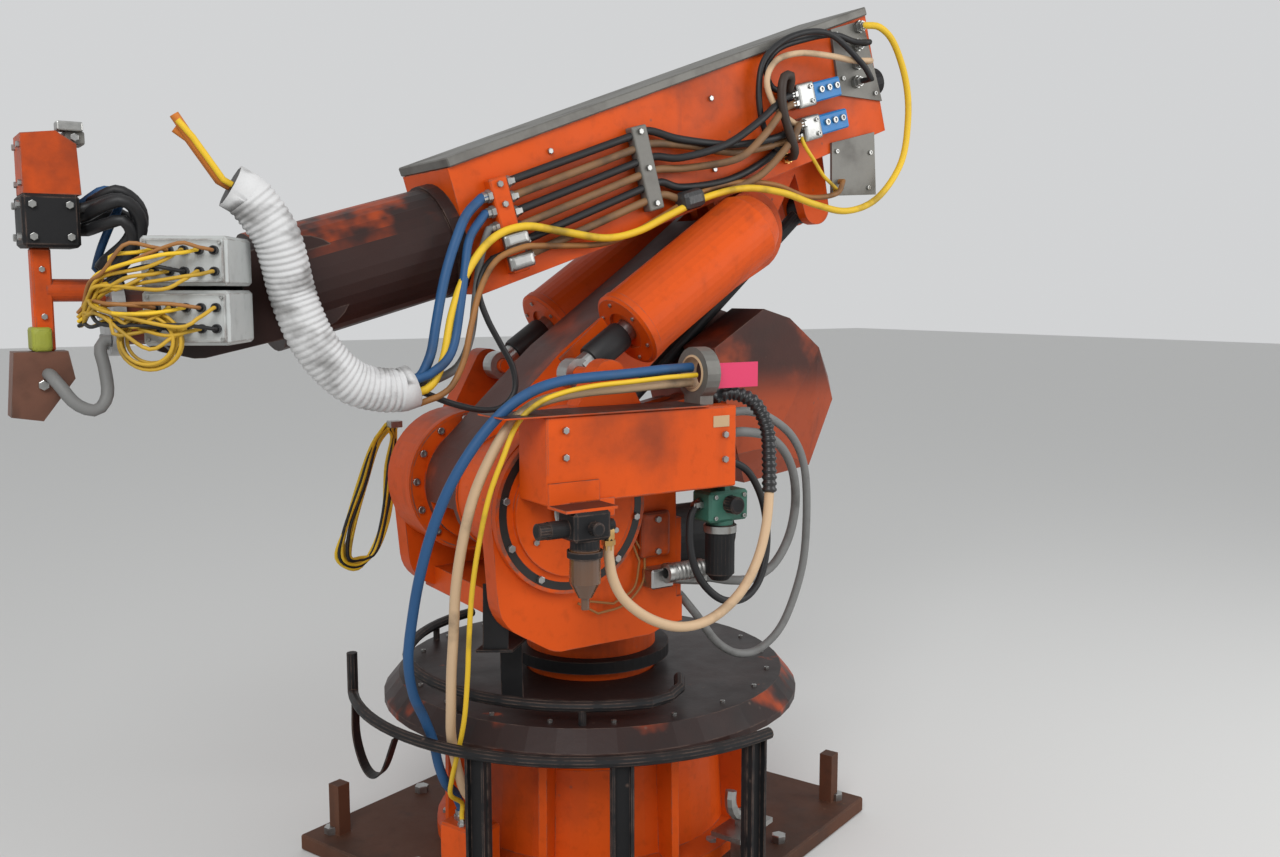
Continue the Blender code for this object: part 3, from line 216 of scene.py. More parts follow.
YELLOW = jacket("yellow_cable_jacket", (0.72, 0.46, 0.02), 0.35)
BLUE = jacket("blue_hose_jacket", (0.015, 0.075, 0.19), 0.3)
BEIGE = jacket("beige_hose_jacket", (0.55, 0.38, 0.23), 0.4)
GREY = jacket("grey_hose_jacket", (0.17, 0.17, 0.165), 0.4)
BLACK = jacket("black_hose_jacket", (0.012, 0.012, 0.013), 0.1, 0.38)


def smooth_route(route, spacing):
    """Points at an even spacing along a smooth curve through the route's own points."""
    route = [Vector(point) for point in route]
    ends = [2 * route[0] - route[1]] + route + [2 * route[-1] - route[-2]]
    fine = []
    for before, here, there, after in zip(ends, ends[1:], ends[2:], ends[3:]):
        for k in range(16):
            t = k / 16
            straight = 2 * here + (there - before) * t
            curved = (
                2 * before - 5 * here + 4 * there - after
            ) * t**2 + (3 * here - before - 3 * there + after) * t**3
            fine.append(0.5 * (straight + curved))
    fine.append(route[-1])
    length = sum((b - a).length for a, b in zip(fine, fine[1:]))
    count = max(2, round(length / spacing))
    step, walked, kept = length / count, 0.0, [fine[0]]
    for a, b in zip(fine, fine[1:]):
        gap = (b - a).length
        while walked + gap >= step * len(kept) and len(kept) < count:
            kept.append(a.lerp(b, (step * len(kept) - walked) / gap))
        walked += gap
    return kept + [fine[-1]]


def line_of(name, points, radius, material, rings=3, cyclic=False):
    """A round line through the points, as a curve object at the origin."""
    curve = bpy.data.curves.new(name, "CURVE")
    curve.dimensions = "3D"
    curve.bevel_depth = radius
    curve.bevel_resolution = rings
    curve.use_fill_caps = True
    spline = curve.splines.new("POLY")
    spline.points.add(len(points) - 1)
    spline.use_cyclic_u = cyclic
    for spot, point in zip(spline.points, points):
        spot.co = (*point, 1)
    curve.materials.append(material)
    made = bpy.data.objects.new(name, curve)
    bpy.context.scene.collection.objects.link(made)
    return made


def route_points(route, radius, matrix, spacing=None):
    """The free part of a hose: straight at both ends, smooth between them."""
    step = spacing or max(0.012, 1.2 * radius)
    middle = smooth_route(route[1:-1], step)
    return [matrix @ point for point in [Vector(route[0])] + middle + [Vector(route[-1])]]


def length_of(points):
    return sum((b - a).length for a, b in zip(points, points[1:]))


def cord_piece(name, route, radius, material, body, matrix, node=None):
    """A free hose whose two ends go into the object."""
    points = route_points(route, radius, matrix)
    made = line_of(name, points, radius, material)
    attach(made, body)
    if node:
        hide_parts(node)
    length_of(points)
    2 * radius
    return made


RING_FACE = (-0.3083, 0.43, 0.234)
YELLOW_ROUTE = [
    (-0.456, 0.1333, 0.44), (-0.456, 0.16, 0.44), (-0.50, 0.172, 0.425), (-0.542, 0.172, 0.374),
    (-0.564, 0.17, 0.271), (-0.55, 0.168, 0.17), (-0.495, 0.168, 0.062), (-0.382, 0.17, -0.009),
    (-0.259, 0.175, -0.015), (-0.15, 0.175, 0.03), (-0.054, 0.175, 0.083), (0.06, 0.175, 0.122),
    (0.18, 0.172, 0.13), (0.30, 0.168, 0.115), (0.40, 0.165, 0.10), (0.494, 0.165, 0.108),
    (0.60, 0.168, 0.15), (0.70, 0.172, 0.188), (0.786, 0.172, 0.18), (0.87, 0.178, 0.124),
    (0.93, 0.185, 0.053), (0.98, 0.20, -0.025), (1.02, 0.208, -0.067), (1.045, 0.21, -0.078),
    (1.0697, 0.21, -0.078),
]
FEED_ROUTE = [
    (0.7455, 0.143, 0.27), (0.768, 0.143, 0.27), (0.82, 0.155, 0.245), (0.865, 0.165, 0.20),
    (0.905, 0.172, 0.15), (0.937, 0.176, 0.10), (0.972, 0.182, 0.04), (1.00, 0.186, -0.01),
    (1.03, 0.19, -0.043), (1.045, 0.192, -0.052), (1.0697, 0.192, -0.052),
]
cord_piece("yellow_lead", YELLOW_ROUTE, 0.009, YELLOW, "upper_arm", ON_ARM, "yellow_cable")
cord_piece("blue_feed", FEED_ROUTE, 0.011, BLUE, "upper_arm", ON_ARM, "feed_hose")
BLOCK = ON_BASE @ Vector((0.45, 0, 0.19)) - SHOULDER
INTO = ON_BASE.to_3x3() @ Vector((0, 0.028, 0))
SEAT = 0.0003
BOX_BLUE_ROUTE = [
    (-0.27, 0.43, 0.30), (-0.19, 0.432, 0.298), (-0.10, 0.437, 0.293), (0.0, 0.447, 0.29),
    (0.08, 0.456, 0.285), (0.15, 0.46, 0.267), (0.21, 0.455, 0.23), (0.262, 0.44, 0.17),
    (0.308, 0.42, 0.09), (0.335, 0.39, 0.0), (0.35, 0.355, -0.10), (0.35, 0.31, -0.20),
    (0.345, 0.27, -0.30), (0.32, 0.232, -0.39), (0.285, 0.208, -0.46), (0.26, 0.195, -0.52),
    (0.245, 0.187, -0.58), (0.225, 0.178, -0.63), BLOCK - INTO + Vector((0.02, 0.01, 0.07)),
    BLOCK - INTO + Vector((0, 0, 0.03)), BLOCK - INTO + Vector((0, 0, SEAT)),
]
BOX_BEIGE_ROUTE = [
    (-0.27, 0.43, 0.268), (-0.19, 0.43, 0.266), (-0.10, 0.43, 0.262), (0.0, 0.432, 0.259),
    (0.08, 0.44, 0.252), (0.14, 0.445, 0.237), (0.19, 0.443, 0.20), (0.228, 0.435, 0.14),
    (0.26, 0.42, 0.06), (0.275, 0.395, -0.04), (0.28, 0.37, -0.14), (0.275, 0.345, -0.24),
    (0.27, 0.32, -0.33), (0.26, 0.292, -0.42), (0.25, 0.268, -0.48), (0.235, 0.25, -0.54),
    (0.215, 0.232, -0.60), (0.195, 0.215, -0.645), BLOCK + INTO + Vector((0.015, 0.015, 0.06)),
    BLOCK + INTO + Vector((0, 0, 0.025)), BLOCK + INTO + Vector((0, 0, SEAT)),
]
FILTER_ROUTE = [
    (0.021, 0.545, -0.035 - SEAT), (0.021, 0.545, -0.065), (0.011, 0.545, -0.115),
    (-0.018, 0.545, -0.165), (-0.078, 0.55, -0.213), (-0.158, 0.55, -0.243), (-0.243, 0.545, -0.239),
    (-0.323, 0.54, -0.197), (-0.375, 0.535, -0.134), (-0.405, 0.53, -0.06), (-0.418, 0.525, 0.02),
    (-0.425, 0.515, 0.09), (-0.43, 0.50, 0.16), (-0.415, 0.475, 0.215), (-0.38, 0.445, 0.238),
    (-0.345, 0.43, 0.234), RING_FACE,
]
REAR_ROUTE = [
    (-0.3385, 0.3754, -0.1951), (-0.3685, 0.3773, -0.199), (-0.43, 0.372, -0.215),
    (-0.50, 0.365, -0.222), (-0.57, 0.36, -0.20), (-0.62, 0.358, -0.14), (-0.64, 0.36, -0.06),
    (-0.625, 0.37, 0.02), (-0.58, 0.385, 0.085), (-0.51, 0.405, 0.128), (-0.43, 0.425, 0.145),
    (-0.38, 0.43, 0.147), (-0.3433, 0.43, 0.147),
]
cord_piece("blue_main", BOX_BLUE_ROUTE, 0.011, BLUE, "frame", ON_FRAME, "box_hose_blue")
cord_piece("beige_main", BOX_BEIGE_ROUTE, 0.011, BEIGE, "frame", ON_FRAME, "box_hose_beige")
cord_piece("filter_line", FILTER_ROUTE, 0.011, BEIGE, "frame", ON_FRAME, "filter_hose")
cord_piece("rear_line", REAR_ROUTE, 0.011, GREY, "frame", ON_FRAME, "rear_hose")


# The dress hose: a wire-wound fabric conduit of 94 mm that hangs over the forearm and carries the
# tool's cables.
# Its pale cloth puckers between the turns of wire, and its lower end is finished with a smooth soft cuff.
DRESS_ROUTE = [
    (1.07, 0.2, -0.063), (1.095, 0.2, -0.063), (1.14, 0.2, -0.047), (1.19, 0.2, -0.014),
    (1.225, 0.2, 0.04), (1.245, 0.2, 0.097), (1.252, 0.2, 0.15), (1.254, 0.201, 0.20),
    (1.254, 0.214, 0.262), (1.257, 0.222, 0.311), (1.27, 0.222, 0.357), (1.285, 0.22, 0.395),
    (1.31, 0.217, 0.42),
]
WIRE_PITCH = 0.0125


def swept(points, radii, sides=28):
    """A tube mesh whose radius changes along its points."""
    shape = bmesh.new()
    rings = []
    side = Vector((0, 1, 0))
    for k, (point, radius) in enumerate(zip(points, radii)):
        way = (points[min(k + 1, len(points) - 1)] - points[max(k - 1, 0)]).normalized()
        side = (side - way * side.dot(way)).normalized()
        up = way.cross(side)
        turns = [2 * math.pi * n / sides for n in range(sides)]
        rings.append(
            [shape.verts.new(point + radius * (side * math.cos(t) + up * math.sin(t))) for t in turns]
        )
    for a, b in zip(rings, rings[1:]):
        for n in range(sides):
            shape.faces.new((a[n], a[(n + 1) % sides], b[(n + 1) % sides], b[n]))
    shape.faces.new(list(reversed(rings[0])))
    shape.faces.new(rings[-1])
    bmesh.ops.recalc_face_normals(shape, faces=shape.faces)
    return shape


def piece_from(shape, name, material, body, smooth=True):
    """A finished mesh piece from a shape, riding on a body."""
    mesh_data = bpy.data.meshes.new(name)
    shape.to_mesh(mesh_data)
    shape.free()
    mesh_data.materials.append(material)
    made = bpy.data.objects.new(name, mesh_data)
    bpy.context.scene.collection.objects.link(made)
    if smooth:
        mesh_data.shade_smooth()
    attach(made, body)
    return made


cloth = Finish("conduit_cloth", Roughness=0.75)
weave = cloth.noise(260, 2)
dust = cloth.noise(9, 4, stretch=(1, 1, 1.6)).band(0.45, 0.68)
cloth.colour(cloth.blend(dust * 0.75 + weave * 0.15, rgba(0.60, 0.60, 0.60), rgba(0.17, 0.165, 0.16)))
cloth.bump(weave, 0.4, 0.0006)
dress_points = route_points(DRESS_ROUTE, 0.047, ON_ARM, spacing=WIRE_PITCH / 5)
walked, dress_radii = 0.0, []
for here, there in zip(dress_points, dress_points[1:] + dress_points[-1:]):
    pleat = abs(math.sin(math.pi * walked / WIRE_PITCH))
    cuff = walked < 0.028
    dress_radii.append(0.0465 if cuff else 0.0422 + 0.0046 * pleat**0.7)
    walked += (there - here).length
shape = swept(dress_points, dress_radii, sides=32)
dress = piece_from(shape, "dress_conduit", cloth.material, "forearm")
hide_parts("dress_hose")
length_of(dress_points)


# The castings: cast iron painted orange, rubbed dull, chipped to dark primer and streaked with old grease.
# The dirt lies thickest on upward faces, in blotchy stains and in runs down the sides.


def worn_paint(name, colour, dirt=0.4, dark=None, rust=0.0, gloss=0.36):
    """Sprayed paint with chips, scratches and greasy dirt; dark is a mask of where it is black with grease,
    and on the lower arm with grease and painted shade.
    """
    finish = Finish(name, Specular_IOR_Level=0.22)
    fade = finish.noise(2.2, 3)
    fresh = finish.blend(fade, rgba(*(c * 0.72 for c in colour)), rgba(*(min(1, c * 1.12) for c in colour)))
    mottled = finish.blend(
        finish.noise(38, 5).band(0.5, 0.8) * 0.35, fresh, rgba(*(c * 0.5 for c in colour))
    )
    top = finish.axis("Z", normal=True).band(0.25, 0.95)
    stains = finish.noise(3.4, 6, shift=(3, 1, 7)).band(0.60 - 0.26 * dirt, 0.86 - 0.22 * dirt)
    drips = finish.noise(14, 4, stretch=(1, 1, 0.12)).band(0.60, 0.80) * (0.25 + 0.7 * dirt)
    grime = (stains * (0.35 + 0.6 * dirt) + top * (0.3 + 0.35 * dirt)).math(
        "MINIMUM", stains + top * 0.5 + drips, 1.0
    )
    grime = grime.math("MAXIMUM", grime * (0.45 + 0.55 * dirt), drips * 0.6)
    dirty = finish.blend(grime * 0.92, mottled, rgba(0.028, 0.018, 0.014))
    if dark is not None:
        # The dark mask turns faces black: grease, and on the lower arm painted shade as well.
        grease_and_shade = dark(finish)
        dirty = finish.blend(grease_and_shade * 0.97, dirty, rgba(0.013, 0.012, 0.012))
        grime = grime.math("MAXIMUM", grime, grease_and_shade)
    edge = finish.node("ShaderNodeBevel", {"samples": 4}, Radius=0.004)
    facing = finish.node("ShaderNodeNewGeometry", {}, output="Normal")
    turned_away = finish.node(
        "ShaderNodeVectorMath", {"operation": "DOT_PRODUCT"}, edge, facing, output="Value"
    )
    rubbed = (1.0 - turned_away).band(0.004, 0.05) * finish.noise(24, 4).band(0.36, 0.62)
    chips = finish.spots(26).band(0.0, 0.16)
    chipped = (1.0 - chips) * finish.noise(5, 3, shift=(9, 0, 2)).band(0.52, 0.66)
    bare = rubbed.math("MAXIMUM", rubbed, chipped) * 0.85
    metal = finish.blend(
        finish.noise(60, 3), rgba(0.05, 0.035, 0.03), rgba(0.20, 0.13 - 0.05 * rust, 0.10 - 0.07 * rust)
    )
    finish.colour(finish.blend(bare, dirty, metal))
    finish.rough(gloss + 0.28 * finish.noise(12, 4) + 0.2 * bare - 0.06 * grime)
    finish.bump(finish.noise(170, 3) * 0.5 + finish.noise(36, 3) - bare * 0.7, 0.3, 0.0012)
    return finish.material


def coat(node, material):
    """Gives a CAD node its real finish."""
    target = bpy.data.objects[node]
    for holder in target.material_slots:
        holder.material = material
    return target


PAINT = (0.66, 0.080, 0.003)
orange = worn_paint("orange_casting_paint", PAINT, 0.35)
orange_dirty = worn_paint("orange_paint_greasy", PAINT, 0.7)
black_paint = worn_paint("black_pipe_paint", (0.012, 0.012, 0.013), 0.15, gloss=0.42)
for node in (
    "pedestal", "terminal_block", "frame_casting", "near_gear_cover", "far_gear_cover", "side_box"
):
    coat(node, orange)
for node in ("arm_housing", "front_clamp", "balance_cylinder_left", "balance_cylinder_right"):
    coat(node, orange)
for node in ("parallel_arm", "tool_frame", "tool_block"):
    coat(node, orange_dirty)
for node in ("guard_hoop", "collar_hoop", "neck_band", "shoulder_motor_left", "shoulder_motor_right"):
    coat(node, black_paint)
for node in ("filter_head", "regulator_bowl", "tie_rod", "wrist_motors", "box_bracket", "tool_clamp"):
    coat(node, black_paint)


def arm_grease_and_shade(finish):
    """The lower arm is black on its broad front and back between the balance cylinders, partly grease and
    partly painted shade, and orange on its drum and sides.
    """
    side = finish.axis("Y", normal=True).math("ABSOLUTE", finish.axis("Y", normal=True))
    wide = finish.axis("Y").math("ABSOLUTE", finish.axis("Y"))
    # The broad faces between the balance cylinders are blackened: partly grease, partly painted shade.
    broad = (1.0 - side.band(0.35, 0.8)) * (1.0 - wide.band(0.085, 0.09))
    ragged = finish.noise(5, 5).band(0.25, 0.5)
    return broad * (0.55 + 0.45 * ragged) * 0.9


def forearm_faces(finish):
    """The forearm is nearly all grease, with the paint showing where a sleeve has rubbed its top."""
    top = finish.axis("Z", normal=True).band(0.3, 0.8) * finish.noise(4.5, 4).band(0.44, 0.58)
    return 1.0 - 0.85 * top


def weight_faces(finish):
    """The counterweight's top and upper side are black with oil, and its rear side is dull paint."""
    high = finish.axis("Z").band(1.10, 1.22)
    return 0.35 + 0.6 * high * finish.noise(6, 4).band(0.2, 0.5)


def bracket_faces(finish):
    """The filter's bracket is orange on its upright leg and black with dust and oil on its shelf."""
    return finish.axis("Z", normal=True).band(0.3, 0.8) * 0.97


coat("filter_bracket", worn_paint("filter_bracket_paint", PAINT, 0.5, bracket_faces))


def cover_faces(finish):
    """The base cover is black with old grease, with bare orange showing through on its sloping flank."""
    flank = 1.0 - finish.axis("Z", normal=True).band(0.80, 0.92)
    patches = finish.noise(3.4, 4, shift=(4, 2, 0)).band(0.50, 0.60)
    flakes = finish.noise(11, 5).band(0.66, 0.72)
    return 1.0 - 0.85 * flank * patches - 0.7 * flakes * (1.0 - flank)


coat("base_cover", worn_paint("base_cover_paint", PAINT, 0.5, cover_faces))
coat("lower_arm", worn_paint("lower_arm_paint", PAINT, 0.5, arm_grease_and_shade))
coat("forearm", worn_paint("forearm_paint", PAINT, 0.6, forearm_faces))
coat("wrist", worn_paint("wrist_paint", PAINT, 0.8, lambda finish: 0.8 * finish.noise(7, 4).band(0.3, 0.5)))
coat("counterweight", worn_paint("counterweight_paint", (0.55, 0.085, 0.02), 0.45, weight_faces))
coat("tool_bracket", worn_paint("tool_bracket_paint", (0.16, 0.07, 0.045), 0.6))
coat("floor_plate", worn_paint("floor_plate_rust", (0.11, 0.045, 0.025), 0.55, rust=0.6, gloss=0.55))


# The metal and plastic parts: brushed steel shafts, grey plates, junction boxes and the air fittings'
# colours.
# Each is scuffed at its edges and carries a thin film of oil.


def bare_metal(name, colour, rough=0.32, metallic=1.0, oil=0.3, brushed=(1, 1, 1)):
    """Machined or cast metal with fine marks and oily film."""
    finish = Finish(name)
    marks = finish.noise(90, 3, stretch=brushed)
    film = finish.noise(8, 5).band(0.55 - 0.2 * oil, 0.8)
    shade = finish.blend(marks, rgba(*(c * 0.8 for c in colour)), rgba(*(min(1, c * 1.12) for c in colour)))
    finish.colour(finish.blend(film * (0.4 + 0.5 * oil), shade, rgba(0.04, 0.03, 0.025)))
    finish.rough(rough + 0.25 * marks * 0.6 + 0.15 * film)
    finish.metal(metallic - 0.6 * metallic * film)
    finish.bump(marks, 0.2, 0.0005)
    return finish.material


STEEL = bare_metal("oiled_steel", (0.42, 0.42, 0.41), 0.28)
ZINC = bare_metal("zinc_plated_steel", (0.40, 0.40, 0.385), 0.27, oil=0.3)
CAST = bare_metal("grey_cast_plate", (0.17, 0.165, 0.15), 0.45, 0.45, oil=0.5)
BRASS = bare_metal("brass_fitting", (0.65, 0.40, 0.14), 0.28, oil=0.35)
BOX_ENAMEL = worn_paint("junction_box_enamel", (0.50, 0.52, 0.51), 0.12, gloss=0.4)
for node in (
    "elbow_shaft", "link_pin", "balance_rod_left", "balance_rod_right", "tool_flange", "motor_connector"
):
    coat(node, STEEL)
for node in ("cable_saddle", "ring_clamp", "top_flange", "gland_plate", "lower_bracket", "hose_rack"):
    coat(node, CAST)
for node in ("junction_box_1", "junction_box_2"):
    coat(node, BOX_ENAMEL)
coat("cable_coil", YELLOW)


def plastic(name, colour, rough=0.4, dirt=0.3, **values):
    """Moulded plastic or enamel, dulled by dust."""
    finish = Finish(name, **values)
    dust = finish.noise(11, 5).band(0.62 - 0.3 * dirt, 0.85)
    finish.colour(finish.blend(dust * (0.3 + 0.5 * dirt), rgba(*colour), rgba(0.05, 0.04, 0.035)))
    finish.rough(rough + 0.2 * finish.noise(26, 3))
    finish.bump(finish.noise(150, 2), 0.12, 0.0005)
    return finish.material


coat("number_tag", plastic("pink_tag_plastic", (0.62, 0.02, 0.10), 0.35, 0.15))
coat("regulator_head", plastic("green_enamel", (0.03, 0.12, 0.085), 0.4, 0.4))
coat("filter_bowl", plastic("smoked_amber_bowl", (0.10, 0.045, 0.02), 0.08, 0.4, Coat_Weight=0.6))
VALVE_BLUE = plastic("valve_blue_plastic", (0.01, 0.16, 0.42), 0.35, 0.25)
coat("valve_block_1", VALVE_BLUE)
coat("valve_block_2", VALVE_BLUE)


# Bolts and screws: plated hexagon heads on washers, and socket screws, turned from bar and rubbed
# bright by the spanner.
# One of each is modelled and copied wherever the castings, covers and clamps are fixed.


def begin(primitive, **values):
    """Adds a primitive with nothing else selected and goes into edit mode."""
    bpy.ops.object.select_all(action="DESELECT")
    primitive(**values)
    made = bpy.context.object
    bpy.ops.object.mode_set(mode="EDIT")
    bpy.ops.mesh.select_mode(type="FACE")
    return made


def pick(made, test):
    """Selects the faces for which test is true."""
    shape = bmesh.from_edit_mesh(made.data)
    for face in shape.faces:
        face.select_set(False)
    for face in shape.faces:
        if test(face):
            face.select_set(True)
    bmesh.update_edit_mesh(made.data)


def done(made, name):
    """Leaves edit mode with the piece's place in its mesh."""
    bpy.ops.object.mode_set(mode="OBJECT")
    bpy.ops.object.transform_apply(location=True, rotation=True, scale=True)
    made.name = name
    return made


def upward(face):
    return face.normal.z > 0.9


def downward(face):
    return face.normal.z < -0.9


hex_bolt = begin(
    bpy.ops.mesh.primitive_cylinder_add, vertices=6, radius=1, depth=0.7, location=(0, 0, 0.55)
)
pick(hex_bolt, upward)
bpy.ops.mesh.inset(thickness=0.14, depth=0.08)
pick(hex_bolt, downward)
bpy.ops.mesh.inset(thickness=0.3, use_outset=True)
bpy.ops.mesh.extrude_region_move(TRANSFORM_OT_translate={"value": (0, 0, -0.2)})
done(hex_bolt, "hex_bolt_model")
socket_screw = begin(
    bpy.ops.mesh.primitive_cylinder_add, vertices=14, radius=1, depth=0.8, location=(0, 0, 0.4)
)
pick(socket_screw, upward)
bpy.ops.mesh.inset(thickness=0.08, depth=0.06)
bpy.ops.mesh.inset(thickness=0.36)
bpy.ops.mesh.extrude_region_move(TRANSFORM_OT_translate={"value": (0, 0, -0.4)})
done(socket_screw, "socket_screw_model")


def stamp(model, name, spots, matrix, material, body, smooth=False):
    """Copies a model to each spot (point, direction, size) of a frame and joins the copies."""
    shape = bmesh.new()
    for point, direction, size in spots:
        aim = Vector(direction).to_track_quat("Z", "Y").to_matrix().to_4x4()
        scale = Matrix.Scale(size, 4)
        copy = model.data.copy()
        copy.transform(matrix @ Matrix.Translation(point) @ aim @ scale)
        shape.from_mesh(copy)
        bpy.data.meshes.remove(copy)
    return piece_from(shape, name, material, body, smooth)


def on_circle(radius, count, y, start=0.0):
    """Spots on a ring in the XZ plane at y."""
    turns = [start + 2 * math.pi * k / count for k in range(count)]
    return [(radius * math.cos(t), y, radius * math.sin(t)) for t in turns]


OUT, IN, UP = (0, 1, 0), (0, -1, 0), (0, 0, 1)
cover_spots = [(p, OUT, 0.0085) for p in on_circle(0.166, 10, 0.3672, 0.2)]
cover_spots += [(p, OUT, 0.007) for p in on_circle(0.115, 6, 0.3792, 0.5)]
stamp(hex_bolt, "near_cover_bolts", cover_spots, ON_FRAME, STEEL, "frame")
stamp(
    hex_bolt, "far_cover_bolts", [(p, IN, 0.009) for p in on_circle(0.118, 8, -0.3322)], ON_FRAME,
    STEEL, "frame"
)
stamp(
    socket_screw, "hub_flange_screws", [(p, OUT, 0.009) for p in on_circle(0.158, 14, -0.1097, 0.1)],
    ON_LOWER, STEEL, "lower_arm",
)
plate_spots = [((x, y, 0.04), UP, 0.019) for x in (-0.47, -0.16, 0.16, 0.47) for y in (-0.47, 0.47)]
plate_spots += [((x, y, 0.04), UP, 0.019) for x in (-0.47, 0.47) for y in (-0.16, 0.16)]
foot_turns = [2 * math.pi * k / 8 for k in range(8)]
plate_spots += [((0.372 * math.cos(t), 0.372 * math.sin(t), 0.0703), UP, 0.014) for t in foot_turns]
stamp(hex_bolt, "floor_bolts", plate_spots, ON_BASE, STEEL, "base")
rim_turns = [2 * math.pi * (k + 0.5) / 20 for k in range(20)]
stamp(
    socket_screw, "base_cover_screws",
    [((0.452 * math.cos(t), 0.452 * math.sin(t), 0.46), UP, 0.006) for t in rim_turns], ON_BASE, ZINC,
    "base",
)


def block(name, low, high, matrix, material, body, soft=0.003, inset=0.0, rise=0.0, face=upward):
    """A plate or block with softened edges, and a raised or sunk field on one face."""
    low, high = Vector(low), Vector(high)
    made = begin(bpy.ops.mesh.primitive_cube_add, size=1)
    bpy.ops.transform.resize(value=tuple(high - low))
    bpy.ops.transform.translate(value=tuple((low + high) / 2))
    if inset:
        pick(made, face)
        bpy.ops.mesh.inset(thickness=inset, depth=rise)
    bpy.ops.mesh.select_all(action="SELECT")
    bpy.ops.mesh.bevel(offset=min(soft, min(high - low) * 0.45), segments=2, affect="EDGES")
    done(made, name)
    made.data.transform(matrix)
    made.data.materials.append(material)
    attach(made, body)
    return made


def outward(face):
    return face.normal.y > 0.9


# The near cheek's small inspection cover: a cast lid on two screws beside the gear cover.
# It is painted with the frame.
block(
    "inspection_cover", (-0.262, 0.3455, -0.135), (-0.182, 0.362, -0.03), ON_FRAME, orange_dirty,
    "frame", 0.006, 0.014, 0.006, outward
)
lid_spots = [((-0.222, 0.368, -0.12), OUT, 0.0075), ((-0.222, 0.368, -0.046), OUT, 0.0075)]
stamp(hex_bolt, "inspection_bolts", lid_spots, ON_FRAME, STEEL, "frame")


# The hub's flange: a turned ring on the lower arm's far drum, painted over, whose rim stands round
# its screws.
# It is one ring spun from its section.


def spun(name, section, matrix, material, body, steps=64, axis="Z"):
    """A ring or cap spun from a closed section of (radius, height) corners about a frame's Z or Y."""
    made = begin(bpy.ops.mesh.primitive_plane_add, size=1)
    bpy.ops.mesh.delete(type="VERT")
    shape = bmesh.from_edit_mesh(made.data)
    corners = [shape.verts.new((radius, 0, height)) for radius, height in section]
    shape.edges.new((corners[-1], corners[0]))
    for a, b in zip(corners, corners[1:]):
        shape.edges.new((a, b))
    bmesh.update_edit_mesh(made.data)
    bpy.ops.mesh.select_mode(type="VERT")
    bpy.ops.mesh.select_all(action="SELECT")
    bpy.ops.mesh.spin(steps=steps, angle=2 * math.pi, center=(0, 0, 0), axis=(0, 0, 1), dupli=False)
    bpy.ops.mesh.select_all(action="SELECT")
    bpy.ops.mesh.remove_doubles(threshold=0.00002)
    bpy.ops.mesh.normals_make_consistent(inside=False)
    done(made, name)
    bpy.ops.object.shade_smooth_by_angle(angle=math.radians(35))
    turn = Matrix.Rotation(-math.pi / 2, 4, "X") if axis == "Y" else Matrix.Identity(4)
    made.data.transform(matrix @ turn)
    made.data.materials.append(material)
    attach(made, body)
    return made


spun(
    "hub_flange",
    [(0.168, -0.1094), (0.176, -0.1094), (0.178, -0.124), (0.1745, -0.132), (0.1738, -0.112)], ON_LOWER,
    orange, "lower_arm", axis="Y",
)
spun(
    "near_cover_rim",
    [(0.178, 0.3672), (0.186, 0.3672), (0.187, 0.352), (0.1853, 0.352), (0.1846, 0.3675)], ON_FRAME,
    orange, "frame", axis="Y",
)
spun(
    "near_cover_boss", [(0.03, 0.3792), (0.052, 0.3792), (0.056, 0.386), (0.048, 0.391), (0.03, 0.391)],
    ON_FRAME, STEEL, "frame", axis="Y",
)


# The balancing cylinders' mouths: a screwed gland ring with six screws, and the dark rubber sleeve on
# each rod.
# The steel ring is painted over with the tube.
BALANCE_TURN = math.atan2(-0.476, 0.3259)
for side, y in (("left", 0.19), ("right", -0.19)):
    on_tube = Matrix.Translation(
        SHOULDER + Vector((-0.588, y, 0.6039))
    ) @ Matrix.Rotation(BALANCE_TURN, 4, "Y")
    on_rod = Matrix.Translation(
        SHOULDER + Vector((-0.112, y, 0.278))
    ) @ Matrix.Rotation(BALANCE_TURN, 4, "Y")
    gland = [
        (0.05, -0.408), (0.088, -0.408), (0.0965, -0.402), (0.0965, -0.385), (0.0942, -0.383),
        (0.0942, -0.3985), (0.05, -0.4005)
    ]
    spun("balance_gland_" + side, gland, on_tube, orange, "balance_cylinder_" + side)
    turns = [2 * math.pi * k / 6 for k in range(6)]
    stamp(
        socket_screw, "balance_screws_" + side,
        [((0.074 * math.cos(t), 0.074 * math.sin(t), -0.4078), (0, 0, -1), 0.005) for t in turns],
        on_tube, STEEL, "balance_cylinder_" + side,
    )
    sleeve = [
        (0.0273, 0.05), (0.034, 0.052), (0.036, 0.06), (0.036, 0.148), (0.033, 0.156), (0.0273, 0.157)
    ]
    spun("rod_sleeve_" + side, sleeve, on_rod, BLACK, "balance_rod_" + side, steps=40)


# The air tray's top lip, screws and bare tin label: a folded sheet on the box, with its fixings
# through the front.
# The lip is grey with dust where the hoses lie on it.
def lip_faces(finish):
    """The lip's top is grey-black with dust and grease, and its edges are orange."""
    return finish.axis("Z", normal=True).band(0.3, 0.8) * 0.97


LIP_PAINT = worn_paint("tray_lip_paint", PAINT, 0.5, lip_faces)
block("tray_lip", (-0.262, 0.385, 0.2184), (0.232, 0.506, 0.2222), ON_FRAME, LIP_PAINT, "frame", 0.0015)
block(
    "tray_label", (-0.322, 0.5002, 0.172), (-0.278, 0.5014, 0.197), ON_FRAME,
    plastic("bare_label", (0.45, 0.30, 0.16)), "frame", 0.0005
)
tray_spots = [
    ((x, 0.5002, z), OUT, 0.0075) for x,
    z in ((0.095, 0.19), (0.095, 0.135), (-0.31, 0.155), (-0.31, 0.10))
]
stamp(hex_bolt, "tray_bolts", tray_spots, ON_FRAME, STEEL, "frame")
block("tray_tab", (-0.02, 0.502, 0.005), (0.09, 0.506, 0.045), ON_FRAME, orange_dirty, "frame", 0.0015)


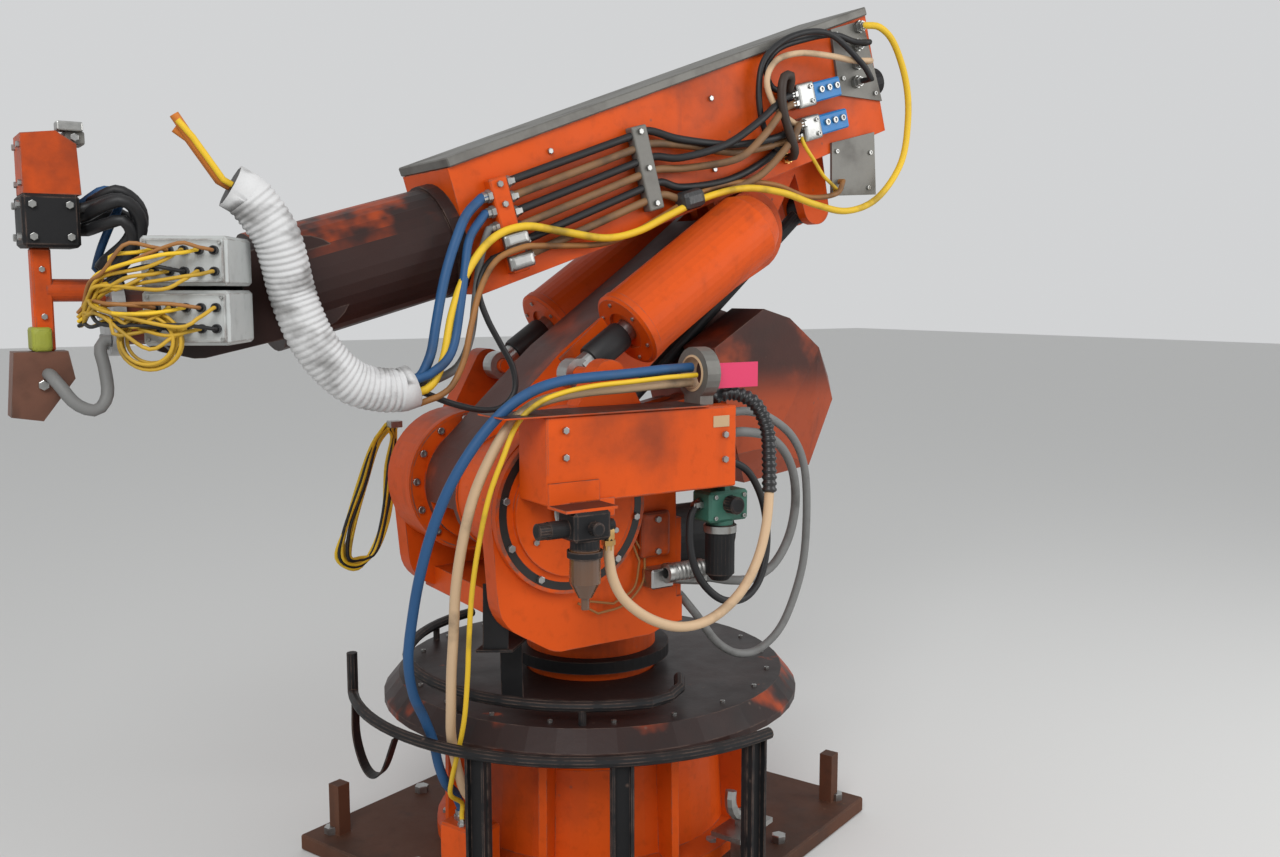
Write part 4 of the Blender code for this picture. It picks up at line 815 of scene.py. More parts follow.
# The air filter: a die-cast head with a ribbed knob, a locking ring over the bowl, and a brass elbow
# for the hose.
# The ring and knob are black moulded plastic.
knob = begin(bpy.ops.mesh.primitive_cylinder_add, vertices=18, radius=1, depth=1.4, location=(0, 0, 0.7))
pick(
    knob,
    lambda face: abs(face.normal.z) < 0.1 and round(
        math.degrees(math.atan2(face.normal.y, face.normal.x)) / 20
    ) % 2 == 0
)
bpy.ops.mesh.inset(thickness=0.04, use_individual=True)
bpy.ops.mesh.extrude_faces_move(TRANSFORM_OT_shrink_fatten={"value": -0.09})
pick(knob, upward)
bpy.ops.mesh.inset(thickness=0.2, depth=0.12)
done(knob, "knob_model")
stamp(
    knob, "filter_knobs",
    [
        ((0.162, 0.545, 0.0), (1, 0, 0), 0.017), ((0.077, 0.5795, 0.002), OUT, 0.014),
        ((-0.353, 0.4655, -0.01), OUT, 0.02)
    ],
    ON_FRAME, black_paint, "frame",
)
spun(
    "filter_ring", [(0.0322, -0.05), (0.0365, -0.048), (0.0365, -0.062), (0.0322, -0.064)],
    ON_FRAME @ Matrix.Translation((0.077, 0.545, 0.0)), black_paint, "frame", steps=32
)
spun(
    "bowl_guard", [(0.0342, -0.064), (0.038, -0.062), (0.038, -0.078), (0.0342, -0.08)],
    ON_FRAME @ Matrix.Translation((-0.353, 0.43, 0.0)), ZINC, "frame", steps=32
)
spun(
    "filter_elbow",
    [(0.0, -0.034), (0.013, -0.034), (0.0142, -0.028), (0.0142, -0.012), (0.0126, -0.01), (0.0, -0.01)],
    ON_FRAME @ Matrix.Translation((0.021, 0.545, 0.0)), BRASS, "frame", steps=6
)
regulator_spots = [
    ((-0.353 + dx, 0.4652, -0.015 + dz), OUT, 0.005)
    for dx in (-0.04, 0.04)
    for dz in (-0.024, 0.024)
]
stamp(socket_screw, "regulator_screws", regulator_spots, ON_FRAME, ZINC, "frame")
spun(
    "connector_ring", [(0.0172, -0.052), (0.0215, -0.05), (0.0215, -0.022), (0.0172, -0.02)],
    ON_FRAME @ Matrix.Translation((-0.262, 0.3702, -0.1818)) @ Matrix.Rotation(
        math.radians(98.5), 4, "Y"
    ),
    ZINC, "frame", steps=20,
)
spun(
    "ring_seal", [(0.036, -0.02), (0.0408, -0.0195), (0.0408, 0.0195), (0.036, 0.02)],
    ON_FRAME @ Matrix.Translation((-0.29, 0.43, 0.287)) @ Matrix.Rotation(math.pi / 2, 4, "Y"), BEIGE,
    "frame", steps=40
)


# The upper arm's hose rack: six hoses lie across the side panel under two bolted bars, then fan out
# to the valves.
# They are old rubber, three black and three beige, stiff with oil.
TAN = jacket("old_tan_hose_jacket", (0.22, 0.115, 0.05), 0.6)
RACK = (
    (
        BLACK, (0.218, 0.158, 0.281), (0.072, 0.165, 0.235), (-0.05, 0.168, 0.222),
        (-0.13, 0.160, 0.226), 0.230, 0.159
    ),
    (
        TAN, (0.197, 0.148, 0.262), (0.060, 0.150, 0.215), (-0.05, 0.152, 0.205), (-0.13, 0.152, 0.205),
        0.206, 0.152
    ),
    (
        BLACK, (0.232, 0.168, 0.238), (0.104, 0.184, 0.240), (-0.01, 0.188, 0.272),
        (-0.11, 0.172, 0.308), 0.313, 0.162
    ),
    (
        TAN, (0.200, 0.150, 0.208), (0.080, 0.190, 0.200), (-0.01, 0.196, 0.236), (-0.10, 0.180, 0.282),
        0.290, 0.160
    ),
    (
        BLACK, (0.235, 0.146, 0.168), (0.095, 0.147, 0.152), (-0.04, 0.140, 0.170),
        (-0.13, 0.138, 0.205), 0.216, 0.138
    ),
    (
        TAN, (0.240, 0.150, 0.140), (0.120, 0.143, 0.128), (0.000, 0.160, 0.140), (-0.11, 0.175, 0.200),
        0.236, 0.175
    ),
)
for k, (material, first, second, third, fourth, end_z, end_y) in enumerate(RACK):
    rear_z, front_z = 0.318 - 0.031 * k, 0.29 - 0.034 * k
    slope = (rear_z - front_z) / 0.38
    route = [
        (0.6985, 0.143, front_z), (0.66, 0.143, front_z + 0.04 * slope),
        (0.50, 0.143, front_z + 0.2 * slope)
    ]
    route += [(0.345, 0.143, rear_z - 0.025 * slope), (0.29, 0.143, rear_z), first, second, third, fourth]
    route += [(-0.150, end_y, end_z), (-0.168, end_y, end_z)]
    cord_piece("rack_hose_%d" % (k + 1), route, 0.0095, material, "upper_arm", ON_ARM)
rear_bar = block(
    "rear_bar", (0.302, 0.1253, 0.134), (0.346, 0.1555, 0.336), ON_ARM, CAST, "upper_arm", 0.004
)
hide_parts("hose_rack")
bar_spots = [((0.324, 0.1553, z), OUT, 0.0075) for z in (0.15, 0.235, 0.322)]
bar_spots += [((0.7225, 0.1553, z), OUT, 0.0075) for z in (0.11, 0.16, 0.245, 0.29)]
stamp(hex_bolt, "rack_bolts", bar_spots, ON_ARM, ZINC, "upper_arm")
for k, z in enumerate((0.115, 0.165)):
    block(
        "saddle_clip_%d" % (k + 1), (0.69, 0.156, z - 0.017), (0.755, 0.170, z + 0.017), ON_ARM, ZINC,
        "upper_arm", 0.004, 0.008, 0.004, outward
    )


# The valves and glands at the arm's rear: silver bodies with blue coils, and four cable glands on a
# grey plate.
# A looped bundle of dark and beige air lines joins them.
for k, z in enumerate((0.305, 0.22)):
    block(
        "valve_body_%d" % (k + 1), (-0.232, 0.1255, z - 0.031), (-0.1705, 0.169, z + 0.031), ON_ARM,
        ZINC, "upper_arm", 0.004, 0.01, 0.003, outward
    )
    spots = [((-0.215, 0.172, z + dz), OUT, 0.006) for dz in (-0.018, 0.018)]
    spots += [((-0.255 - 0.028 * n, 0.165, z + 0.004), OUT, 0.0085) for n in range(3)]
    stamp(socket_screw, "valve_screws_%d" % (k + 1), spots, ON_ARM, ZINC, "upper_arm")
gland_model = begin(
    bpy.ops.mesh.primitive_cylinder_add, vertices=6, radius=1, depth=0.7, location=(0, 0, 0.35)
)
pick(gland_model, upward)
bpy.ops.mesh.inset(thickness=0.16)
bpy.ops.mesh.extrude_region_move(TRANSFORM_OT_translate={"value": (0, 0, 0.7)})
bpy.ops.mesh.inset(thickness=0.18)
bpy.ops.mesh.extrude_region_move(TRANSFORM_OT_translate={"value": (0, 0, 0.35)})
done(gland_model, "gland_model")
glands = [(-0.456, 0.1333, 0.44), (-0.438, 0.1333, 0.395), (-0.426, 0.1333, 0.348), (-0.412, 0.1333, 0.302)]
stamp(gland_model, "cable_glands", [(spot, OUT, 0.0165) for spot in glands], ON_ARM, ZINC, "upper_arm")
plate_screws = [
    ((x, 0.1333, z), OUT, 0.006) for x,
    z in ((-0.375, 0.435), (-0.37, 0.32), (-0.478, 0.26), (-0.30, 0.14), (-0.42, 0.11), (-0.39, 0.02))
]
stamp(socket_screw, "plate_screws", plate_screws, ON_ARM, ZINC, "upper_arm")
panel_screws = [
    ((x, 0.1252, z), OUT, 0.007) for x,
    z in ((0.075, 0.355), (0.11, 0.185), (-0.075, 0.33), (0.56, 0.33))
]
stamp(hex_bolt, "panel_bolts", panel_screws, ON_ARM, STEEL, "upper_arm")
LOOPS = (
    (
        BLACK, 0.008,
        [
            (-0.1703, 0.15, 0.32), (-0.15, 0.15, 0.325), (-0.105, 0.152, 0.345), (-0.10, 0.152, 0.395),
            (-0.15, 0.152, 0.432), (-0.24, 0.154, 0.44), (-0.34, 0.158, 0.435), (-0.405, 0.165, 0.405),
            (-0.438, 0.185, 0.395), (-0.438, 0.162, 0.395)
        ]
    ),
    (
        BEIGE, 0.008,
        [
            (-0.1703, 0.16, 0.235), (-0.15, 0.162, 0.24), (-0.09, 0.172, 0.29), (-0.075, 0.172, 0.36),
            (-0.12, 0.17, 0.405), (-0.20, 0.172, 0.41), (-0.30, 0.175, 0.385), (-0.37, 0.182, 0.36),
            (-0.426, 0.19, 0.348), (-0.426, 0.162, 0.348)
        ]
    ),
    (
        BLACK, 0.008,
        [
            (-0.1703, 0.14, 0.21), (-0.15, 0.14, 0.20), (-0.085, 0.15, 0.19), (-0.05, 0.155, 0.26),
            (-0.06, 0.155, 0.35), (-0.10, 0.158, 0.42), (-0.19, 0.172, 0.455), (-0.30, 0.185, 0.44),
            (-0.38, 0.20, 0.35), (-0.412, 0.195, 0.302), (-0.412, 0.162, 0.302)
        ]
    ),
)
for k, (material, radius, route) in enumerate(LOOPS):
    cord_piece("air_loop_%d" % (k + 1), route, radius, material, "upper_arm", ON_ARM)


# The tool's lines: six more hoses and cables that drop from the front bar into the dress hose's lower
# mouth.
# A black one hangs in a loop below the bar.
DROPS = (
    (
        BLUE, 0.010,
        [
            (0.7455, 0.141, 0.235), (0.77, 0.141, 0.235), (0.83, 0.16, 0.195), (0.87, 0.176, 0.13),
            (0.91, 0.19, 0.06), (0.95, 0.203, -0.005), (0.985, 0.212, -0.035), (1.03, 0.2135, -0.05),
            (1.0697, 0.2135, -0.05)
        ]
    ),
    (
        GREY, 0.009,
        [
            (0.7455, 0.14, 0.20), (0.77, 0.14, 0.20), (0.81, 0.15, 0.15), (0.85, 0.155, 0.07),
            (0.89, 0.16, -0.01), (0.94, 0.17, -0.06), (1.0, 0.176, -0.072), (1.04, 0.178, -0.068),
            (1.0697, 0.178, -0.068)
        ]
    ),
    (
        BLACK, 0.007,
        [
            (0.7455, 0.145, 0.14), (0.785, 0.152, 0.138), (0.82, 0.165, 0.12), (0.85, 0.175, 0.08),
            (0.852, 0.185, 0.02), (0.84, 0.19, -0.04), (0.828, 0.195, -0.10), (0.84, 0.20, -0.15),
            (0.88, 0.20, -0.175), (0.93, 0.20, -0.165), (0.99, 0.195, -0.13), (1.045, 0.191, -0.086),
            (1.0697, 0.191, -0.086)
        ]
    ),
)
for k, (material, radius, route) in enumerate(DROPS):
    cord_piece("tool_line_%d" % (k + 1), route, radius, material, "upper_arm", ON_ARM)


# The frame's other hoses: a ribbed black conduit below the ring, a grey return line, and the
# regulator's black loop.
# The conduit is a plastic spiral hose of 34 mm.
FRAME_LINES = (
    (
        GREY, 0.010,
        [
            (-0.2935, 0.32, -0.24), (-0.32, 0.32, -0.245), (-0.36, 0.335, -0.30), (-0.41, 0.35, -0.37),
            (-0.471, 0.36, -0.405), (-0.54, 0.36, -0.40), (-0.61, 0.36, -0.345), (-0.665, 0.36, -0.22),
            (-0.678, 0.36, -0.09), (-0.664, 0.365, 0.035), (-0.615, 0.375, 0.115),
            (-0.53, 0.392, 0.168), (-0.45, 0.408, 0.19), (-0.38, 0.415, 0.192), (-0.3433, 0.415, 0.192)
        ]
    ),
    (
        BLACK, 0.009,
        [
            (-0.2978, 0.43, -0.01), (-0.285, 0.43, -0.01), (-0.268, 0.432, -0.04),
            (-0.266, 0.436, -0.11), (-0.29, 0.44, -0.18), (-0.35, 0.443, -0.235), (-0.42, 0.442, -0.24),
            (-0.475, 0.43, -0.20), (-0.505, 0.415, -0.12), (-0.50, 0.405, -0.03), (-0.46, 0.40, 0.045),
            (-0.40, 0.40, 0.08), (-0.3433, 0.40, 0.085)
        ]
    ),
)
for k, (material, radius, route) in enumerate(FRAME_LINES):
    cord_piece("frame_line_%d" % (k + 1), route, radius, material, "frame", ON_FRAME)


# Hose ends: crimped steel ferrules with a hexagon nut where each line meets the part that it feeds.
# The filter's is brass.
FRONT, BACK, DOWN = (1, 0, 0), (-1, 0, 0), (0, 0, -1)
block_ends = [
    (BLOCK - INTO, UP, 0.0165), (BLOCK + INTO, UP, 0.0165),
    (BLOCK + ON_BASE.to_3x3() @ Vector((0.026, 0, 0)), UP, 0.010)
]
stamp(gland_model, "block_fittings", block_ends, ON_FRAME, STEEL, "base")
tray_ends = [
    ((-0.343, 0.43, 0.147), BACK, 0.0155), ((-0.343, 0.415, 0.192), BACK, 0.014),
    ((-0.343, 0.40, 0.085), BACK, 0.0135)
]
tray_ends += [
    ((-0.298, 0.43, -0.01), FRONT, 0.0135), ((-0.293, 0.32, -0.24), BACK, 0.0145),
    ((-0.3385, 0.3754, -0.195), BACK, 0.0145)
]
stamp(gland_model, "line_fittings", tray_ends, ON_FRAME, ZINC, "frame")
stamp(gland_model, "filter_outlet", [((0.021, 0.545, -0.034), DOWN, 0.0145)], ON_FRAME, BRASS, "frame")
valve_ends = [((-0.1705, end_y, end_z), FRONT, 0.0125) for _, _, _, _, _, end_z, end_y in RACK]
bar_ends = [
    ((0.7452, 0.143, 0.27), FRONT, 0.015), ((0.7452, 0.141, 0.235), FRONT, 0.014),
    ((0.7452, 0.14, 0.20), FRONT, 0.013)
]
bar_ends += [((0.6998, 0.143, 0.29 - 0.034 * k), BACK, 0.0135) for k in range(6)]
stamp(gland_model, "arm_fittings", valve_ends + bar_ends, ON_ARM, ZINC, "upper_arm")


# Thin lines laid with the hoses: a yellow cable beside the box's beige hose, and a brown one beside
# the yellow lead.
# Black tape binds them under the arm's rear bar.
THIN_YELLOW = [
    (-0.27, 0.45, 0.284), (-0.19, 0.451, 0.282), (-0.10, 0.453, 0.277), (0.0, 0.456, 0.272),
    (0.08, 0.464, 0.262), (0.14, 0.468, 0.243), (0.185, 0.466, 0.205), (0.213, 0.459, 0.14),
    (0.237, 0.442, 0.06), (0.250, 0.419, -0.04), (0.254, 0.393, -0.14), (0.25, 0.367, -0.24),
    (0.243, 0.342, -0.33), (0.238, 0.316, -0.42), (0.236, 0.292, -0.48), (0.238, 0.268, -0.54),
    (0.235, 0.235, -0.60), (0.225, 0.205, -0.65),
]
THIN_END = BLOCK + ON_BASE.to_3x3() @ Vector((0.026, 0, 0))
THIN_YELLOW += [
    THIN_END + Vector((0.004, 0.01, 0.06)), THIN_END + Vector((0, 0, 0.03)),
    THIN_END + Vector((0, 0, SEAT))
]
cord_piece("thin_yellow_cable", THIN_YELLOW, 0.0055, YELLOW, "frame", ON_FRAME)
BROWN = jacket("brown_cable_jacket", (0.30, 0.13, 0.035), 0.45)
BROWN_ROUTE = [
    (-0.29, 0.1333, 0.06), (-0.29, 0.148, 0.06), (-0.25, 0.156, 0.035), (-0.15, 0.156, 0.05),
    (-0.054, 0.152, 0.105), (0.06, 0.148, 0.139), (0.18, 0.148, 0.143), (0.25, 0.148, 0.128),
    (0.32, 0.146, 0.113), (0.40, 0.146, 0.098), (0.494, 0.146, 0.095), (0.60, 0.148, 0.118),
    (0.68, 0.178, 0.138), (0.722, 0.182, 0.145), (0.79, 0.180, 0.135), (0.85, 0.186, 0.085),
    (0.90, 0.196, 0.015), (0.94, 0.206, -0.045), (0.985, 0.212, -0.088), (1.02, 0.213, -0.100),
    (1.045, 0.213, -0.101), (1.0697, 0.213, -0.101),
]
cord_piece("brown_cable", BROWN_ROUTE, 0.007, BROWN, "upper_arm", ON_ARM)
tape = Finish("black_tape", Roughness=0.35)
tape_wrinkle = tape.noise(60, 3, stretch=(4, 1, 1))
tape.colour(tape.blend(tape_wrinkle, rgba(0.012, 0.012, 0.013), rgba(0.05, 0.05, 0.05)))
tape.bump(tape_wrinkle, 0.5, 0.002)
block("tape_wrap", (0.195, 0.134, 0.112), (0.262, 0.186, 0.158), ON_ARM, tape.material, "upper_arm", 0.014)
block("cable_tie_mount", (0.205, 0.1253, 0.13), (0.245, 0.136, 0.15), ON_ARM, ZINC, "upper_arm", 0.002)


# The junction boxes: die-cast lids with a raised field and two rows of plug sockets in each, and the
# sensor cables.
# The cables leave towards the tool and gather in a hand-wound coil.
BOX_TURN = Matrix.Rotation(math.radians(-30), 4, "Z")
ON_BOX = ON_WRIST @ BOX_TURN
PORT_BLACK = plastic("port_plastic", (0.02, 0.02, 0.022), 0.4, 0.1)
spun_port = begin(
    bpy.ops.mesh.primitive_cylinder_add, vertices=14, radius=1, depth=0.9, location=(0, 0, 0.45)
)
pick(spun_port, upward)
bpy.ops.mesh.inset(thickness=0.22)
bpy.ops.mesh.extrude_region_move(TRANSFORM_OT_translate={"value": (0, 0, -0.5)})
bpy.ops.mesh.inset(thickness=0.3)
bpy.ops.mesh.extrude_region_move(TRANSFORM_OT_translate={"value": (0, 0, 1.1)})
done(spun_port, "port_model")
ports = []
for k, (low, high) in enumerate(((0.058, 0.148), (-0.05, 0.05))):
    block(
        "box_lid_%d" % (k + 1), (-0.164, 0.2942, low + 0.006), (-0.021, 0.3015, high - 0.006), ON_BOX,
        BOX_ENAMEL, "forearm", 0.003, 0.007, -0.004, outward
    )
    middle = (low + high) / 2
    ports += [
        ((-0.148 + 0.0265 * n, 0.2978, middle + dz), OUT, 0.0085)
        for n in range(5)
        for dz in (-0.019, 0.019)
    ]
    corner_screws = [
        ((u, 0.3013, z), OUT, 0.0035)
        for u in (-0.158, -0.027)
        for z in (low + 0.012, high - 0.012)
    ]
    stamp(socket_screw, "box_screws_%d" % (k + 1), corner_screws, ON_BOX, ZINC, "forearm")
stamp(spun_port, "box_ports", ports, ON_BOX, PORT_BLACK, "forearm")
SENSOR = jacket("sensor_cable_jacket", (0.50, 0.30, 0.02), 0.6)
lead_colours = (SENSOR, BROWN, SENSOR, YELLOW, BLACK, SENSOR)
for k in range(20):
    u, v, z = ports[k][0]
    swing = 0.012 * math.sin(2.1 * k)
    route = [
        (u, v + 0.006, z), (u, v + 0.018, z), (u + 0.02, v + 0.030 + 0.003 * (k % 3), z - 0.006 + swing)
    ]
    route += [(u + 0.06, v + 0.034 + 0.004 * (k % 4), z - 0.012 + 2 * swing)]
    route += [(0.03 + 0.006 * (k % 3), 0.318 + 0.006 * (k % 4), 0.6 * z + 0.004 * (k % 5))]
    route += [(0.075, 0.29 + 0.005 * (k % 3), 0.3 * z + 0.012 * (k % 4) - 0.01)]
    route += [
        (0.10, 0.262, -0.01 + 0.010 * (k % 4)),
        (0.112, 0.245 + 0.003 * (k % 5), -0.015 + 0.008 * (k % 4))
    ]
    points = route_points(route, 0.003, ON_BOX)
    lead = line_of("sensor_lead_%d" % (k + 1), points, 0.0036, lead_colours[k % 6], rings=2)
    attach(lead, "forearm")
coil_points = []
TURNS = 5
for n in range(TURNS * 28 + 1):
    turn = 2 * math.pi * n / 28
    reach = 0.046 + 0.007 * math.sin(turn * 0.37) + 0.0011 * n / 28
    coil_points.append(
        ON_BOX @ Vector(
            (
                -0.035 + reach * math.cos(turn), 0.302 + 0.0085 * n / 28 * 0.8,
                -0.04 + 0.94 * reach * math.sin(turn)
            )
        )
    )
coil = line_of("sensor_coil", coil_points, 0.0034, SENSOR, rings=2)
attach(coil, "forearm")
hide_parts("cable_coil")
length_of(coil_points)


# The tool's hoses: black air lines looped over the wrist, a blue-grey line to the lower bracket, and a
# blue one.
# They are screwed to the flange and the clamp.
WRIST_LINES = (
    ("tool", GREY, 0.012, [
        (0.262, 0.0305, -0.11), (0.262, 0.055, -0.11), (0.25, 0.08, -0.13), (0.225, 0.09, -0.165),
        (0.19, 0.09, -0.178), (0.168, 0.08, -0.15), (0.168, 0.065, -0.1), (0.172, 0.05, -0.065),
        (0.163, 0.042, -0.048), (0.1512, 0.042, -0.048),
    ]),
    ("tool", BLACK, 0.011, [
        (0.1945, 0.03, 0.205), (0.18, 0.031, 0.208), (0.159, 0.045, 0.2165), (0.128, 0.06, 0.227),
        (0.1044, 0.07, 0.2103), (0.1001, 0.07, 0.1824), (0.1156, 0.06, 0.145), (0.1404, 0.04, 0.118),
        (0.1571, 0.015, 0.1), (0.138, 0.012, 0.0805),
    ]),
    ("tool", BLACK, 0.009, [
        (0.1945, -0.03, 0.17), (0.18, -0.03, 0.172), (0.1528, -0.03, 0.1917), (0.1156, -0.02, 0.2041),
        (0.0908, 0.0, 0.1824), (0.1001, 0.01, 0.145), (0.128, 0.0, 0.115), (0.1559, -0.015, 0.095),
        (0.138, -0.02, 0.079),
    ]),
    ("tool", BLUE, 0.008, [
        (0.1945, 0.0, 0.215), (0.18, 0.0, 0.22), (0.1652, 0.0, 0.232), (0.1466, 0.01, 0.2444),
        (0.1249, 0.015, 0.2413), (0.1187, 0.02, 0.2165), (0.1342, 0.02, 0.1824), (0.1497, -0.01, 0.135),
        (0.1578, -0.04, 0.095), (0.138, -0.042, 0.0705),
    ]),
)
for k, (body, material, radius, route) in enumerate(WRIST_LINES):
    cord_piece("wrist_line_%d" % (k + 1), route, radius, material, body, ON_WRIST)
tool_spots = [((0.2949, y, z), FRONT, 0.007) for y in (-0.035, 0.035) for z in (0.15, 0.21)]
tool_spots += [((0.2901, y, z), FRONT, 0.006) for y in (-0.032, 0.032) for z in (0.25, 0.32)]
tool_spots += [((0.1505, 0.062 * math.cos(t), 0.062 * math.sin(t)), FRONT, 0.006) for t in foot_turns]
stamp(hex_bolt, "tool_bolts", tool_spots, ON_WRIST, STEEL, "tool")
side_spots = [((0.245 + dx, 0.0552, z), OUT, 0.0075) for dx in (-0.032, 0.032) for z in (0.15, 0.21)]
side_spots += [
    ((0.2625, 0.0202, z), OUT, 0.006)
    for z in (-0.04, 0.0, 0.09)
] + [((0.272, 0.0302, -0.13), OUT, 0.010)]
stamp(hex_bolt, "tool_side_bolts", side_spots, ON_WRIST, ZINC, "tool")
block(
    "jaw_packing", (0.252, -0.028, -0.066), (0.288, 0.036, -0.02), ON_WRIST,
    plastic("green_yellow_fitting", (0.28, 0.30, 0.03), 0.5, 0.4), "tool", 0.006, 0.008, 0.004, outward
)


# The frame's bent straps: black flat bar screwed to the floor of the frame, and one hung in a bow
# from the guard hoop.
# They keep trailing cables off the cover.


def strap(name, route, width, thick, across, matrix, material, body):
    """A flat bar bent along a route, its width along across."""
    points = [Vector(point) for point in route]
    across = Vector(across).normalized() * width / 2
    shape = bmesh.new()
    rings = []
    for k, point in enumerate(points):
        way = (points[min(k + 1, len(points) - 1)] - points[max(k - 1, 0)]).normalized()
        rise = way.cross(across).normalized() * thick / 2
        corners = (across + rise, -across + rise, -across - rise, across - rise)
        rings.append([shape.verts.new(matrix @ (point + corner)) for corner in corners])
    for a, b in zip(rings, rings[1:]):
        for n in range(4):
            shape.faces.new((a[n], a[(n + 1) % 4], b[(n + 1) % 4], b[n]))
    shape.faces.new(list(reversed(rings[0])))
    shape.faces.new(rings[-1])
    bmesh.ops.recalc_face_normals(shape, faces=shape.faces)
    return piece_from(shape, name, material, body, smooth=False)


bow = smooth_route(
    [
        (0.509, -0.318, 0.425), (0.516, -0.31, 0.35), (0.53, -0.27, 0.295), (0.553, -0.21, 0.285),
        (0.58, -0.14, 0.325), (0.594, -0.0835, 0.418)
    ],
    0.012
)
strap("hoop_bow", bow, 0.032, 0.004, (0.85, 0.3, 0), ON_BASE, black_paint, "base")
coat("cable_saddle", ZINC)


# The conduits: a ribbed black one round the filter hose below the ring, and cables in the dress
# hose's upper mouth.
# A bright corrugated muff joins the rear line to the frame.
sleeve_route = FILTER_ROUTE[10:]
ribbed_points = route_points(sleeve_route[:1] + sleeve_route, 0.015, ON_FRAME, spacing=0.0035)
ribbed_radii = [0.0142 if k % 4 in (0, 1) else 0.0172 for k in range(len(ribbed_points))]
RIB_BLACK = plastic("ribbed_conduit_plastic", (0.012, 0.012, 0.013), 0.22, 0.15)
piece_from(swept(ribbed_points, ribbed_radii, sides=16), "ribbed_conduit", RIB_BLACK, "frame")
muff = [(0.012, -0.33), (0.019, -0.33)]
for k in range(8):
    muff += [(0.019, -0.325 + 0.011 * k), (0.0215, -0.3225 + 0.011 * k), (0.0215, -0.3175 + 0.011 * k)]
muff += [(0.019, -0.236), (0.023, -0.234), (0.023, -0.222), (0.012, -0.222)]
MUFF_FRAME = ON_FRAME @ Matrix.Translation((0, 0.40, -0.165)) @ Matrix.Rotation(math.pi / 2, 4, "Y")
spun("rear_muff", muff, MUFF_FRAME, ZINC, "frame", steps=32)
MOUTH = Vector(DRESS_ROUTE[-1])
mouth_way = (MOUTH - Vector(DRESS_ROUTE[-2])).normalized()
mouth_points = [ON_ARM @ (MOUTH - mouth_way * 0.004), ON_ARM @ (MOUTH + mouth_way * 0.0006)]
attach(line_of("mouth_shade", mouth_points, 0.040, BLACK), "forearm")
ORANGE_CABLE = jacket("orange_cable_jacket", (0.52, 0.16, 0.02), 0.35)
for k, (material, radius, side) in enumerate(
    ((ORANGE_CABLE, 0.009, 0.0), (YELLOW, 0.006, 0.018), (ORANGE_CABLE, 0.007, -0.018))
):
    start = MOUTH + Vector((0, side, 0))
    route = [start, start + mouth_way * 0.02, Vector((1.338, 0.213 + side, 0.477))]
    route += [
        Vector((1.352, 0.209 + side, 0.521)),
        Vector((1.366 + 0.002 * k, 0.206 + side, 0.568 - 0.012 * k))
    ]
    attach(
        line_of("mouth_cable_%d" % (k + 1), route_points(route, radius, ON_ARM), radius, material),
        "forearm"
    )


# The near gear cover's groove, the casting's thin copper-brown wires, and the straps that shield
# the neck.
# The groove is a thin black ring of painted shadow laid in the gap round the cover, so it reads as a black
# ring.
# The near-black colour below is painted shadow for the groove, on a flat ring over its gap.
GROOVE_SHADOW = plastic("groove_painted_shadow", (0.012, 0.010, 0.009), 0.3, 0.1)
groove = [(0.160, 0.3671), (0.160, 0.3676), (0.1778, 0.3676), (0.1778, 0.3671)]
spun("near_cover_groove", groove, ON_FRAME, GROOVE_SHADOW, "frame", axis="Y")
WIRES = (
    [
        (-0.17, 0.353, -0.09), (-0.195, 0.356, -0.13), (-0.19, 0.356, -0.19), (-0.14, 0.356, -0.235),
        (-0.07, 0.356, -0.245), (-0.02, 0.353, -0.215)
    ],
    [
        (-0.16, 0.353, -0.09), (-0.18, 0.357, -0.14), (-0.165, 0.357, -0.20), (-0.11, 0.357, -0.228),
        (-0.05, 0.353, -0.215)
    ],
)
for k, route in enumerate(WIRES):
    wire = line_of(
        "casting_wire_%d" % (k + 1), route_points(route, 0.003, ON_FRAME), 0.0028, BROWN, rings=2
    )
    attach(wire, "frame")
FACING = (0.85, -0.52, 0)
shelf = [(0.0525, 0.215, -0.290), (0.10, 0.25, -0.303), (0.158, 0.295, -0.308)]
strap("neck_shelf", shelf, 0.08, 0.006, FACING, ON_FRAME, black_paint, "frame")
strap(
    "neck_strap_1", [(0.150, 0.288, -0.307), (0.145, 0.284, -0.162)], 0.056, 0.006, FACING, ON_FRAME,
    black_paint, "frame"
)
strap(
    "neck_strap_2", [(0.080, 0.225, -0.303), (0.075, 0.22, -0.455)], 0.05, 0.006, FACING, ON_FRAME,
    black_paint, "frame"
)


# The wrist's crowd of hoses: black loops over the wrist, and the scrap bracket on top of the tool block.
# They are as dense as in the photo, where the flash hardly reaches them.
HEAVY_LOOPS = (
    (0.0125, [
        (0.1945, 0.02, 0.19), (0.178, 0.024, 0.195), (0.1559, 0.075, 0.2103), (0.1249, 0.095, 0.2196),
        (0.1001, 0.095, 0.1979), (0.0939, 0.085, 0.165), (0.1094, 0.07, 0.12), (0.1342, 0.05, 0.1),
        (0.125, 0.04, 0.075),
    ]),
    (0.0105, [
        (0.1945, -0.02, 0.205), (0.178, -0.02, 0.21), (0.159, 0.02, 0.227), (0.1249, 0.045, 0.2432),
        (0.0908, 0.05, 0.2196), (0.0796, 0.04, 0.1824), (0.097, 0.03, 0.14), (0.128, 0.02, 0.11),
        (0.12, 0.01, 0.07),
    ]),
    (0.0115, [
        (0.1945, 0.01, 0.165), (0.178, 0.012, 0.165), (0.1528, 0.065, 0.1762), (0.1249, 0.09, 0.1824),
        (0.1094, 0.085, 0.15), (0.1187, 0.07, 0.11), (0.1404, 0.045, 0.085), (0.128, 0.03, 0.06),
    ]),
)
for k, (radius, route) in enumerate(HEAVY_LOOPS):
    cord_piece("wrist_loop_%d" % (k + 1), route, radius, BLACK, "tool", ON_WRIST)
block("scrap_bracket_1", (0.176, -0.03, 0.326), (0.212, 0.03, 0.352), ON_WRIST, CAST, "tool", 0.004)
